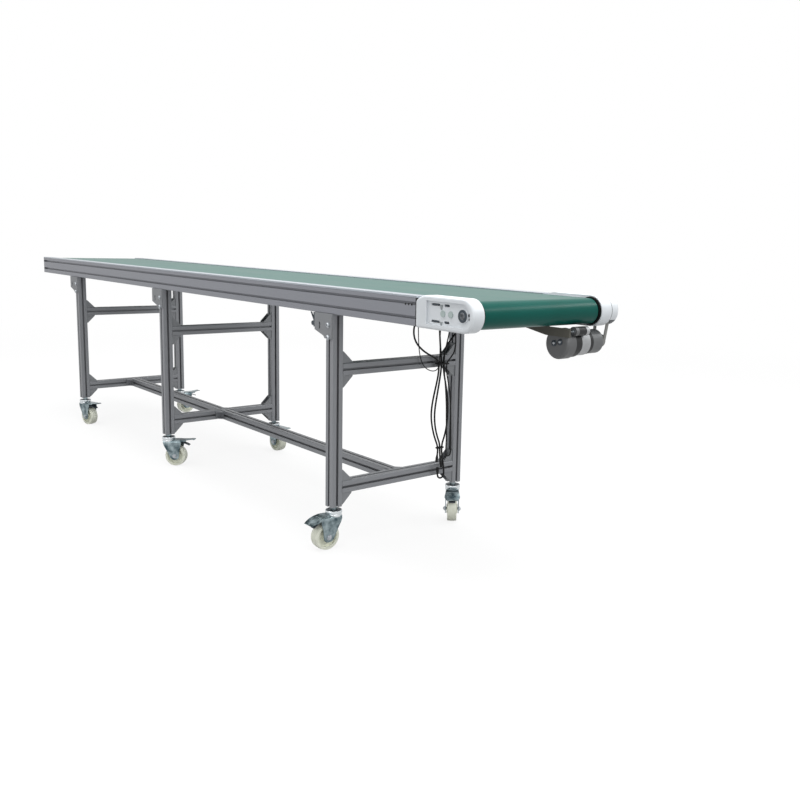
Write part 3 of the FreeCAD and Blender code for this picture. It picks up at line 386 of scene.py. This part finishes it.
def piece(name, mesh, finish, body="root"):
    """Makes a piece of a bmesh, smooth but for its sharp edges."""
    bmesh.ops.remove_doubles(mesh, verts=mesh.verts, dist=1e-6)
    bmesh.ops.recalc_face_normals(mesh, faces=mesh.faces)
    data = bpy.data.meshes.new(name)
    mesh.to_mesh(data)
    mesh.free()
    data.shade_smooth()
    data.set_sharp_from_angle(angle=math.radians(32))
    return new_piece(name, data, finish, body)


leg_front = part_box("legs_head")[1].x
front_x = leg_front + 0.017
shade_line_x = leg_front + 0.025
thin_x = leg_front + 0.0095
cable_diameter = 0.0065
shade_line_diameter = 0.005
thin_diameter = 0.0035
plug_outline = [(0.0, 0.0), (0.0036, 0.0), (0.0042, 0.004), (0.0048, 0.006), (0.005, 0.008),
                (0.005, 0.0165, 6), (0.0046, 0.017), (0.0046, 0.0226), (0.0042, 0.023),
                (0.0036, 0.023), (0.0036, 0.0205), (0.0, 0.0205)]
for which, route in (("front", front_route), ("middle", middle_route), ("back", back_route)):
    (y0, z0), (y1, z1) = route[-2:]
    last_run = (0.0, y1 - y0, z1 - z0)
    plug = piece("cord_plug_" + which, spun(plug_outline, [((front_x, y1, z1), last_run)]),
                 jacket)
    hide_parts("cord_plug_" + which)
cable("cord_front", front_x, front_route, cable_diameter)
cable("cord_middle", front_x, middle_route, cable_diameter)
cable("cord_back", front_x, back_route, cable_diameter)
# cord_loop: a black strand of painted shade, along the shade line at the head leg
cable("cord_loop", shade_line_x, shade_line_route, shade_line_diameter)
cable("cord_thin", thin_x, thin_route, thin_diameter)
dress(jacket, "cord_ties", "cable_duct")


# ---- side rails, legs, crossbars and stretchers --------------------------------------------
# Aluminium slot profile, extruded with fine lines along its length, sawn and anodised a satin
# grey. The side rails have two slots, one over the other. Plastic caps close their tail ends.
# A thin black strip round each rail's head end, against its head housing, is painted shade:
# the shade of the narrow gap where rail and housing meet.
def anodised(name, tone, along, roughness=0.42):
    """An anodised finish with the extrusion's lines along one axis."""
    finish, graph = material(name)
    lines = graph.noise(tuple(6.0 if axis == along else 900.0 for axis in "xyz"), 2.0)
    drift = graph.noise(tuple(1.2 if axis == along else 60.0 for axis in "xyz"))
    darker = (*[value * 0.86 for value in tone[:3]], 1.0)
    base = graph.mix(lines * 0.35 + drift * 0.65, darker, tone)
    graph.surface(Base_Color=base, Metallic=0.5, Roughness=roughness - 0.08 + drift * 0.16,
                  Normal=graph.bump(lines, 0.00012, 0.5))
    return finish


rail_grey = colour(137, 139, 146)
stand_grey = colour(138, 140, 144)
frames = ["tail", "middle", "head"]
dress(anodised("anodised_rail", rail_grey, "x"), "side_rail_right", "side_rail_left")
dress(anodised("anodised_along_belt", stand_grey, "x"), "stretchers", "stretcher_brackets")
dress(anodised("anodised_across_belt", stand_grey, "y"), *["crossbars_" + at for at in frames])
dress(anodised("anodised_upright", stand_grey, "z"), *["legs_" + at for at in frames])


def slab(mesh, low, high, soften):
    """Adds a block with softened edges to a mesh."""
    corners = bmesh.ops.create_cube(mesh, size=1.0)["verts"]
    for corner in corners:
        corner.co = Vector([low[axis] + (corner.co[axis] + 0.5) * (high[axis] - low[axis])
                            for axis in range(3)])
    edges = list({edge for corner in corners for edge in corner.link_edges})
    bmesh.ops.bevel(mesh, geom=edges, offset=soften, offset_type="OFFSET", segments=2,
                    profile=0.5, affect="EDGES")


def button_head(radius, height, washer=0.0):
    """A button-head screw with its hexagon socket, on a washer if it has one."""
    foot = radius * 0.22 if washer else 0.0
    washer_outline = [(washer, 0.0), (washer, foot)] if washer else []
    top = foot + height
    socket_radius = radius * 0.52
    socket_floor = top - height * 0.55
    return [(0.0, 0.0), *washer_outline, (radius, foot), (radius, foot + height * 0.35),
            (radius * 0.88, foot + height * 0.75), (radius * 0.66, top),
            (socket_radius, top, 6), (socket_radius, socket_floor, 6), (0.0, socket_floor)]


plastic = grained("grey_end_cap", 700.0, (84, 84, 90), (100, 100, 106), roughness=0.5,
                  spread=0.15, relief=(0.0003, 0.4))
# black: the slot screws' own colour, and the painted shade in the gaps between rails and
# housings
black_for_screws_and_joint_shade = grained("black_screws_and_painted_joint_shade", 500.0, (26, 26, 28), (42, 42, 44), roughness=0.75,
                 relief=(0.0002, 0.4))
cap_thickness = 0.003
cap_inset = 0.0004          # in from the rail's faces
cap_rise = 0.0042           # over the rail's top, to close the edge strip's end too
pad_inset = 0.006           # the cap's raised middle, in from the rail's faces
pad_front = 0.0042
pad_back = 0.002
joint_shade_width = 0.0032       # along the rail, from its head end
joint_shade_lap = 0.0002         # past the rail's head end, and over its top
joint_shade_side = 0.0008        # out of the rail's sides
joint_shade_foot = 0.0006        # below the rail
caps = bmesh.new()
joints = bmesh.new()
for side in ("right", "left"):
    low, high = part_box("side_rail_" + side)
    slab(caps, (low.x - cap_thickness, low.y + cap_inset, low.z + cap_inset),
         (low.x, high.y - cap_inset, high.z + cap_rise), soften=0.0012)
    slab(caps, (low.x - pad_front, low.y + pad_inset, low.z + pad_inset),
         (low.x - pad_back, high.y - pad_inset, high.z - pad_inset), soften=0.001)
    # a thin black strip round the rail's head end: painted shade of the gap to the head housing
    slab(joints, (high.x - joint_shade_width, low.y - joint_shade_side, low.z - joint_shade_foot),
         (high.x + joint_shade_lap, high.y + joint_shade_side, high.z + joint_shade_lap), soften=0.0005)
piece("rail_end_caps", caps, plastic)
piece("rail_joint_painted_shade", joints, black_for_screws_and_joint_shade)
slot_inset = 0.020          # from a profile's edge to the middle of its slot, where screws sit
screw_sink = 0.0006         # how far a rail screw's foot stands in from the rail's face
bar_screw_lift = 0.0002     # how far a crossbar screw's foot stands off the bar's face
rail_screw_backs = (0.049, 0.035, 0.020)
bar_screw_places = (0.1705, 0.231)
rail_low, rail_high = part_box("side_rail_right")
rail_screw_y = -rail_low.y - screw_sink
rail_screw_z = rail_high.z - slot_inset
bar_screw_x = leg_front + bar_screw_lift
bar_screw_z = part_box("crossbars_head")[0].z + slot_inset
slot_screws = [((rail_high.x - back, side * rail_screw_y, rail_screw_z), (0.0, side, 0.0))
               for back in rail_screw_backs for side in (-1.0, 1.0)]
slot_screws += [((bar_screw_x, y, bar_screw_z), (1.0, 0.0, 0.0)) for y in bar_screw_places]
piece("slot_screws", spun(button_head(radius=0.0034, height=0.0022), slot_screws), black_for_screws_and_joint_shade)

# ---- edge strips ---------------------------------------------------------------------------
# Aluminium strips beside the belt, extruded and left a lighter satin than the rails. They are
# laid along the rails' tops and guide the belt's edges.
dress(anodised("bright_strip", colour(164, 170, 177), "x", 0.38), "edge_strips")

# ---- bed and hidden ties -------------------------------------------------------------------
# A sheet on hollow tubes that tie the rails together, and blocks that hold the tail drum. They
# are galvanised steel, cut and bolted between the rails, with the faint spangle of the zinc.
zinc_sheet, graph = material("galvanised_sheet")
spangle = graph.node("ShaderNodeTexVoronoi", {},
                     {"Vector": graph.stretched(60.0), "Scale": 1.0}, "Color")
shade = graph.node("ShaderNodeRGBToBW", {}, [spangle])
graph.surface(Base_Color=graph.mix(shade, colour(150, 154, 156), colour(176, 180, 182)),
              Metallic=0.9, Roughness=0.34 + shade * 0.14)
dress(zinc_sheet, "slider_bed", "bed_ties", "tail_blocks")

# ---- belt ----------------------------------------------------------------------------------
# One endless belt round the drums: a green PVC cover on woven fabric. It is smooth and slightly
# shiny on top, and the weave prints faintly through it.
belt_cover, graph = material("green_belt_cover")
cloth = graph.noise(500.0, 2.0)
patch = graph.noise((3.0, 9.0, 6.0), 4.0)
graph.surface(Base_Color=graph.mix(patch, colour(0, 71, 62), colour(4, 81, 73)),
              Roughness=0.3 + patch * 0.06, Specular_IOR_Level=0.12,
              Normal=graph.bump(cloth, 0.00006, 0.3))
dress(belt_cover, "conveyor_belt")

# ---- drums, rollers and pulleys ------------------------------------------------------------
# Steel bars and discs, turned on a lathe, which leaves fine circular marks. They run in the
# housings, the tail blocks and the rails.
turned = grained("turned_steel", (30.0, 700.0, 30.0), (140, 142, 145), (176, 178, 180),
                 roughness=0.28, spread=0.15, relief=(0.0001, 0.4), detail=2.0, Metallic=0.95)
dress(turned, "drive_drum", "tail_drum", "return_rollers", "drive_pulleys")

# ---- head housings -------------------------------------------------------------------------
# Two castings over the drum's bearings, bolted to the rails and enamelled white. The left one
# carries the drive's cover; a dark line painted on the white where the cover meets the housing
# is painted shade, the shade of the gap between them. A black ring on each inner face, round
# the belt's edge, is painted shade too: the shade in the gap between belt and housing. The
# right one has the belt's tension screws in a set-in panel.
joint_shade_half_width = 0.002
cover_low, cover_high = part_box("drive_cover")
enamel, graph = material("white_housing")
peel = graph.noise(180.0, 2.0)
cloud = graph.noise(7.0)
shell_white = graph.mix(cloud, colour(203, 208, 212), colour(216, 220, 224))
# a dark band where the drive cover meets the left housing: painted shade of the gap between them
painted_joint_shade = graph.maths("ABSOLUTE", graph.coordinate("Y") - cover_low.y) < joint_shade_half_width
graph.surface(Base_Color=graph.mix(painted_joint_shade, shell_white, colour(58, 60, 64)),
              Roughness=0.34 + cloud * 0.08, Normal=graph.bump(peel, 0.00006, 0.4))
dress(enamel, "head_housing_right", "head_housing_left", "drive_cover")
black_steel = grained("blackened_steel", 300.0, (46, 52, 58), (74, 82, 90), roughness=0.34,
                      spread=0.2, Metallic=0.6)
dress(black_steel, "shaft_cap", "adjuster_screws")
pale = grained("pale_grey_cap", 200.0, (156, 170, 168), (176, 188, 186), roughness=0.45,
               spread=0.1, detail=2.0)
dress(pale, "pivot_caps")
cast_grey = grained("cast_grey", 300.0, (120, 126, 128), (150, 155, 157), roughness=0.42,
                    spread=0.15, Metallic=0.4)
bolt_steel = grained("bolt_steel", 150.0, (150, 154, 158), (192, 196, 200), roughness=0.25,
                     spread=0.2, Metallic=0.9)
# black for the painted shade in the gaps between the belt and the housings
gap_shade_black = grained("black_painted_gap_shade", 1400.0, (8, 9, 9), (20, 22, 22), roughness=0.9,
               relief=(0.0004, 0.6), Specular_IOR_Level=0.1)
worn = grained("worn_shaft_end", (60.0, 60.0, 180.0), (40, 42, 45), (120, 123, 127),
               roughness=0.35, spread=0.2, contrast=2.4, Metallic=0.8)
rightward = (0.0, -1.0, 0.0)
leftward = (0.0, 1.0, 0.0)
drum_low, drum_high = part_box("drive_drum")
drum_x = (drum_low.x + drum_high.x) / 2.0
drum_z = (drum_low.z + drum_high.z) / 2.0
right_low, right_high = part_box("head_housing_right")
left_inner_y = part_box("head_housing_left")[0].y
panel_depth = 0.006
panel_y = right_low.y + panel_depth
# black rings round the belt's edge on the housings' inner faces: painted shade of the gap there
gap_shade_outline = [(0.0115, 0.0), (0.0115, 0.0068), (0.0405, 0.0068), (0.0425, 0.0055),
                (0.0432, 0.003), (0.0432, 0.0), (0.0115, 0.0)]
gap_shade_places = [((drum_x, right_high.y, drum_z), leftward),
               ((drum_x, left_inner_y, drum_z), rightward)]
piece("painted_gap_shade_rings", spun(gap_shade_outline, gap_shade_places, steps=48), gap_shade_black)
ring_outline = [(0.0172, 0.0), (0.0172, 0.0022), (0.0178, 0.0028), (0.0190, 0.0028),
                (0.0197, 0.0022), (0.0197, 0.0), (0.0172, 0.0)]
piece("shaft_ring", spun(ring_outline, [((drum_x, panel_y, drum_z), rightward)], steps=40),
      enamel)
end_outline = [(0.0, 0.0), (0.0098, 0.0), (0.0098, 0.0005), (0.0088, 0.0013),
               (0.0034, 0.0013), (0.0014, 0.0002), (0.0, 0.0002)]
piece("drum_shaft_end", spun(end_outline, [((drum_x, drum_low.y, drum_z), rightward)]), worn)
pins = [((drum_x + forward_of, panel_y, drum_z + above), rightward)
        for forward_of, above in ((0.0245, 0.0040), (0.0268, -0.0070))]
piece("housing_pins", spun(button_head(radius=0.0046, height=0.0026), pins), worn)
tab_x = drum_x - 0.0895     # the middle of the tabs' wide ends
tab_half_width = 0.0065
tab_front = panel_y - 0.0016
tab_back = panel_y + 0.0005
tabs = bmesh.new()
for top, foot in ((0.0235, 0.0095), (-0.0225, -0.0325)):
    outline = [(-tab_half_width, top), (tab_half_width, top), (0.0022, foot), (-0.0012, foot)]
    back, front = [[tabs.verts.new((tab_x + x, y, drum_z + z)) for x, z in outline]
                   for y in (tab_back, tab_front)]
    tabs.faces.new(front)
    for index in range(4):
        after = (index + 1) % 4
        tabs.faces.new([back[index], back[after], front[after], front[index]])
bmesh.ops.bevel(tabs, geom=tabs.edges[:], offset=0.0004, segments=1, affect="EDGES")
piece("adjuster_tabs", tabs, cast_grey)
tail_inset = 0.022          # the cover's screws, in from its tail end, its nose and its edges
nose_inset = 0.075
edge_inset = 0.014
cover_screws = [((x, cover_high.y, z), leftward)
                for x in (cover_low.x + tail_inset, cover_high.x - nose_inset)
                for z in (cover_low.z + edge_inset, cover_high.z - edge_inset)]
piece("cover_screws", spun(button_head(radius=0.0045, height=0.0028), cover_screws), bolt_steel)

# ---- gear motor and its drive --------------------------------------------------------------
# A grey gear motor, painted cast aluminium with a bare middle between dark rings, hangs under
# the head on a cranked arm of painted steel plate. A short toothed rubber belt drives the drum
# from it, inside the drive cover.
motor_low, motor_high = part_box("gear_motor")
paint, graph = material("motor_paint")
grain = graph.noise(260.0)
smudge = graph.noise(16.0)
dark = colour(34, 35, 36)
tones = graph.node("ShaderNodeValToRGB",
                   {"stops": [(0.0, colour(104, 105, 106)), (0.19, dark),
                              (0.355, colour(178, 180, 182)), (0.54, dark),
                              (0.62, colour(112, 114, 115)), (0.862, colour(160, 160, 158))]},
                   [(graph.coordinate("Y") - motor_low.y) / (motor_high.y - motor_low.y)])
graph.surface(Base_Color=graph.mix(smudge * 0.4, tones, dark), Metallic=0.45,
              Roughness=0.4 + grain * 0.15, Normal=graph.bump(grain, 0.0002, 0.4))
dress(paint, "gear_motor")
motor_x = drum_x - 0.011    # the motor's axis, behind and under the drum's
motor_z = drum_z - 0.0947
bell_bolts = [((motor_x + forward_of, motor_low.y, motor_z + above), rightward)
              for forward_of, above in ((-0.0098, 0.0012), (0.0138, 0.0062))]
collar = [(0.0, 0.0), (0.0092, 0.0), (0.0092, 0.0022), (0.0082, 0.0030), (0.0060, 0.0030),
          (0.0060, 0.0016), (0.0, 0.0016)]
piece("motor_bolt_collars", spun(collar, bell_bolts), black_steel)
piece("motor_bolts", spun(button_head(radius=0.0046, height=0.0046), bell_bolts), bolt_steel)
terminal = [(0.0, 0.0), (0.0095, 0.0), (0.0095, 0.0012), (0.0034, 0.0016), (0.0034, 0.0060, 6),
            (0.0016, 0.0066), (0.0016, 0.0110), (0.0, 0.0114)]
terminal_foot = (motor_x + 0.041, motor_low.y + 0.025, motor_z + 0.039)
piece("capacitor_terminal", spun(terminal, [(terminal_foot, rightward)]), bolt_steel)
screw_circle = 0.029        # radius that the gearbox's four screws stand on
gear_face_y = motor_high.y - 0.028
gear_screws = []
for quarter in range(4):
    turn = math.radians(45.0 + 90.0 * quarter)
    gear_screws.append(((motor_x + screw_circle * math.cos(turn), gear_face_y,
                         motor_z + screw_circle * math.sin(turn)), leftward))
piece("gearbox_screws", spun(button_head(radius=0.0036, height=0.0024), gear_screws), bolt_steel)
brown, graph = material("brown_grey_paint")
grain = graph.noise(200.0)
smudge = graph.noise(12.0)
graph.surface(Base_Color=graph.mix(smudge, colour(66, 65, 58), colour(84, 82, 74)), Metallic=0.2,
              Roughness=0.5 + grain * 0.12, Normal=graph.bump(grain, 0.0002, 0.4))
dress(brown, "motor_bracket")
rubber = grained("drive_belt_rubber", (500.0, 60.0, 500.0), (112, 112, 110), (136, 136, 133),
                 roughness=0.6, relief=(0.0004, 0.5), detail=2.0)
dress(rubber, "drive_belt")

# ---- brackets and rail plates --------------------------------------------------------------
# Die-cast aluminium brackets in the corners of the leg frames, and plates that hold the rails
# on the legs. They are grey and a little rough from the mould, and bolted to the slots.
cast = grained("cast_aluminium", 420.0, (122, 124, 127), (140, 142, 145), roughness=0.5,
               spread=0.15, relief=(0.0003, 0.5), Metallic=0.6)
dress(cast, "rail_plates", *["corner_brackets_" + at for at in frames])
dress(black_steel, "rail_clip")
plate_face_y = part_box("rail_plates")[1].y
plate_bolt_heights = (0.7403, 0.7005)
plate_bolts = []
for at in frames:
    low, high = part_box("legs_" + at)
    plate_bolts += [(((low.x + high.x) / 2.0, side * plate_face_y, z), (0.0, side, 0.0))
                    for side in (-1.0, 1.0) for z in plate_bolt_heights]
piece("plate_bolts", spun(button_head(radius=0.0070, height=0.0042, washer=0.0095), plate_bolts),
      bolt_steel)

# ---- castors -------------------------------------------------------------------------------
# Six swivel castors on steel stems in the legs' ends. Each fork is one steel sheet, pressed,
# bent and zinc-plated, that turns on two ball races and carries a cream nylon wheel on a bolt.
# A pressed pedal over the wheel pushes the brake pad onto it. The zinc's steep blotches of
# dark and light tone are painted reflections.
# zinc grey with steep dark-to-light blotches: painted reflections
zinc_with_painted_reflections = grained("bright_zinc_painted_reflections", 34.0, (70, 86, 92), (158, 172, 176), roughness=0.2, spread=0.22,
               contrast=3.4, Metallic=0.95)
nylon = grained("cream_nylon", 50.0, (216, 219, 202), (238, 240, 226), roughness=0.4,
                spread=0.15, relief=(0.0004, 0.3), detail=4.0)
polished = grained("polished_race", 60.0, (196, 202, 206), (226, 230, 232), roughness=0.2,
                   spread=0.12, Metallic=0.9)
dress(zinc_with_painted_reflections, "castor_stems")
upper_race_foot = 0.1183
dish_foot = 0.1278
lower_race_foot = 0.1074
upper_race = [(0.0240, 0.0), (0.0274, 0.0), (0.0281, 0.0012), (0.0281, 0.0080),
              (0.0275, 0.0096), (0.0265, 0.0101), (0.0256, 0.0097), (0.0240, 0.0097),
              (0.0240, 0.0)]
race_dish = [(0.0100, 0.0), (0.0254, 0.0), (0.0254, 0.0006), (0.0180, 0.0006),
             (0.0160, 0.0012), (0.0100, 0.0012), (0.0100, 0.0)]
lower_race = [(0.0, 0.0), (0.0240, 0.0), (0.0262, 0.0010), (0.0268, 0.0030),
              (0.0268, 0.0084), (0.0258, 0.0100), (0.0, 0.0100)]
nut_outline = [(0.0, -0.0500), (0.0048, -0.0500), (0.0048, 0.0), (0.0092, 0.0),
               (0.0092, 0.0011), (0.0078, 0.0012, 6), (0.0078, 0.0046, 6), (0.0066, 0.0052),
               (0.0038, 0.0052), (0.0038, 0.0074), (0.0031, 0.0080), (0.0, 0.0080)]
fork_thickness = 0.003
fork_half_width = 0.025
fork_bend = 0.006           # radius between leg and crown
crown_height = 0.113
crown_corner = -0.0175      # where the crown's back begins to round, behind the stem
crown_front = 0.062
crown_radius = 0.0255       # of the crown's round back, about the stem
fork_levels = [(0.0285, 0.0300, 0.0360), (0.0300, 0.0225, 0.0435), (0.0360, 0.0145, 0.0505),
               (0.0450, 0.0105, 0.0528), (0.0580, 0.0045, 0.0535), (0.0740, -0.0040, 0.0548),
               (0.0900, -0.0135, 0.0590), (0.1020, crown_corner, crown_front)]


def bent_fork():
    """The fork: one sheet bent over the crown, its legs narrowing down to the axle.

    It faces +X from the stem. Each station is (y, z, back x, front x), from one leg's foot
    over the crown to the other's.
    """
    half = [(fork_half_width, z, back, front) for z, back, front in fork_levels]
    for step in range(1, 6):
        turn = math.radians(18.0 * step)
        half.append((fork_half_width - fork_bend + fork_bend * math.cos(turn),
                     crown_height - fork_bend + fork_bend * math.sin(turn), crown_corner,
                     crown_front))
    for y in (0.014, 0.007):
        half.append((y, crown_height, -math.sqrt(crown_radius ** 2 - y ** 2), crown_front))
    middle = [(0.0, crown_height, -crown_radius, crown_front)]
    stations = half + middle + [(-y, z, back, front) for y, z, back, front in reversed(half)]
    columns = 8
    mesh = bmesh.new()
    rows = [[mesh.verts.new((back + (front - back) * column / columns, y, z))
             for column in range(columns + 1)] for y, z, back, front in stations]
    for lower, upper in zip(rows, rows[1:]):
        for column in range(columns):
            mesh.faces.new((lower[column], lower[column + 1], upper[column + 1], upper[column]))
    bmesh.ops.recalc_face_normals(mesh, faces=mesh.faces)
    bmesh.ops.solidify(mesh, geom=mesh.faces[:], thickness=fork_thickness)
    return mesh


def lever(mesh, path, thickness, flange=0.0):
    """A pressed lever along (x, z, half width) points, its sides turned down by flange."""
    rings = []
    for x, z, half in path:
        inner = half - thickness
        under = z - thickness
        edge = under - flange
        if flange:
            ring = [(half, z), (half, edge), (inner, edge), (inner, under), (-inner, under),
                    (-inner, edge), (-half, edge), (-half, z)]
        else:
            ring = [(half, z), (half, under), (-half, under), (-half, z)]
        rings.append([mesh.verts.new((x, y, height)) for y, height in ring])
    for before, after in zip(rings, rings[1:]):
        for index in range(len(before)):
            following = (index + 1) % len(before)
            mesh.faces.new((before[index], before[following], after[following], after[index]))
    mesh.faces.new(rings[0])
    mesh.faces.new(rings[-1])


# a pedal is its plate, its toe and the arm under it, each out from the stem
raised_pedal = [[(0.024, 0.1170, 0.019), (0.045, 0.1176, 0.021), (0.062, 0.1172, 0.021),
                 (0.083, 0.1180, 0.021)],
                [(0.082, 0.1180, 0.0205), (0.092, 0.1196, 0.017), (0.104, 0.1212, 0.015),
                 (0.112, 0.1216, 0.015), (0.117, 0.1200, 0.0145)],
                [(0.058, 0.1070, 0.010), (0.070, 0.1050, 0.010), (0.082, 0.1010, 0.010),
                 (0.093, 0.0960, 0.009)]]
pressed_pedal = [[(0.024, 0.1170, 0.019), (0.045, 0.1164, 0.022), (0.060, 0.1126, 0.025),
                  (0.078, 0.1046, 0.028)],
                 [(0.077, 0.1048, 0.0275), (0.086, 0.1004, 0.0265), (0.094, 0.0968, 0.024),
                  (0.099, 0.0955, 0.019), (0.1025, 0.0975, 0.0165)],
                 [(0.058, 0.0990, 0.012), (0.066, 0.0960, 0.012), (0.074, 0.0900, 0.012),
                  (0.081, 0.0840, 0.011)]]
pedal_thickness = 0.0022
pedal_flange = 0.0045
arm_thickness = 0.004
brake_pad = ((0.006, -0.016, 0.0935), (0.050, 0.016, 0.1085))
upward = (0.0, 0.0, 1.0)
pivots = {}
axles = {}
for joint in frame["record"]["behaviour"]["joints"]:
    kind, key = joint["name"].split("_", 1)
    if kind == "swivel":
        pivots[key] = joint["pos_m"]
    else:
        axles[key] = (Vector(joint["pos_m"]), Vector(joint["axis"]).normalized())
race_places = [((x, y, upper_race_foot), upward) for x, y, _ in pivots.values()]
piece("upper_races", spun(upper_race, race_places, steps=40), polished)
dish_places = [((x, y, dish_foot), upward) for x, y, _ in pivots.values()]
piece("race_dishes", spun(race_dish, dish_places, steps=40), black_steel)
for key, (centre, across) in sorted(axles.items()):
    castor = "castor_" + key
    dress(nylon, "castor_wheel_" + key)
    stem_x, stem_y, _ = pivots[key]
    turn = math.atan2(centre.y - stem_y, centre.x - stem_x)
    placed = Matrix.Translation((stem_x, stem_y, 0.0)) @ Matrix.Rotation(turn, 4, "Z")
    plate, toe, arm = pressed_pedal if key.startswith("head") else raised_pedal
    pressing = bent_fork()
    lever(pressing, plate, pedal_thickness, pedal_flange)
    lever(pressing, toe, pedal_thickness)
    pressing.transform(placed)
    fork = piece("castor_fork_" + key, pressing, zinc_with_painted_reflections, castor)
    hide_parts("castor_fork_" + key)
    brake = bmesh.new()
    lever(brake, arm, arm_thickness)
    slab(brake, *brake_pad, soften=0.002)
    brake.transform(placed)
    piece("brake_" + key, brake, black_steel, castor)
    nuts = [(centre + across * fork_half_width, across),
            (centre - across * fork_half_width, -across)]
    piece("axle_nuts_" + key, spun(nut_outline, nuts), bolt_steel, castor)
    piece("lower_race_" + key, spun(lower_race, [((stem_x, stem_y, lower_race_foot), upward)],
                                    steps=40), polished, castor)
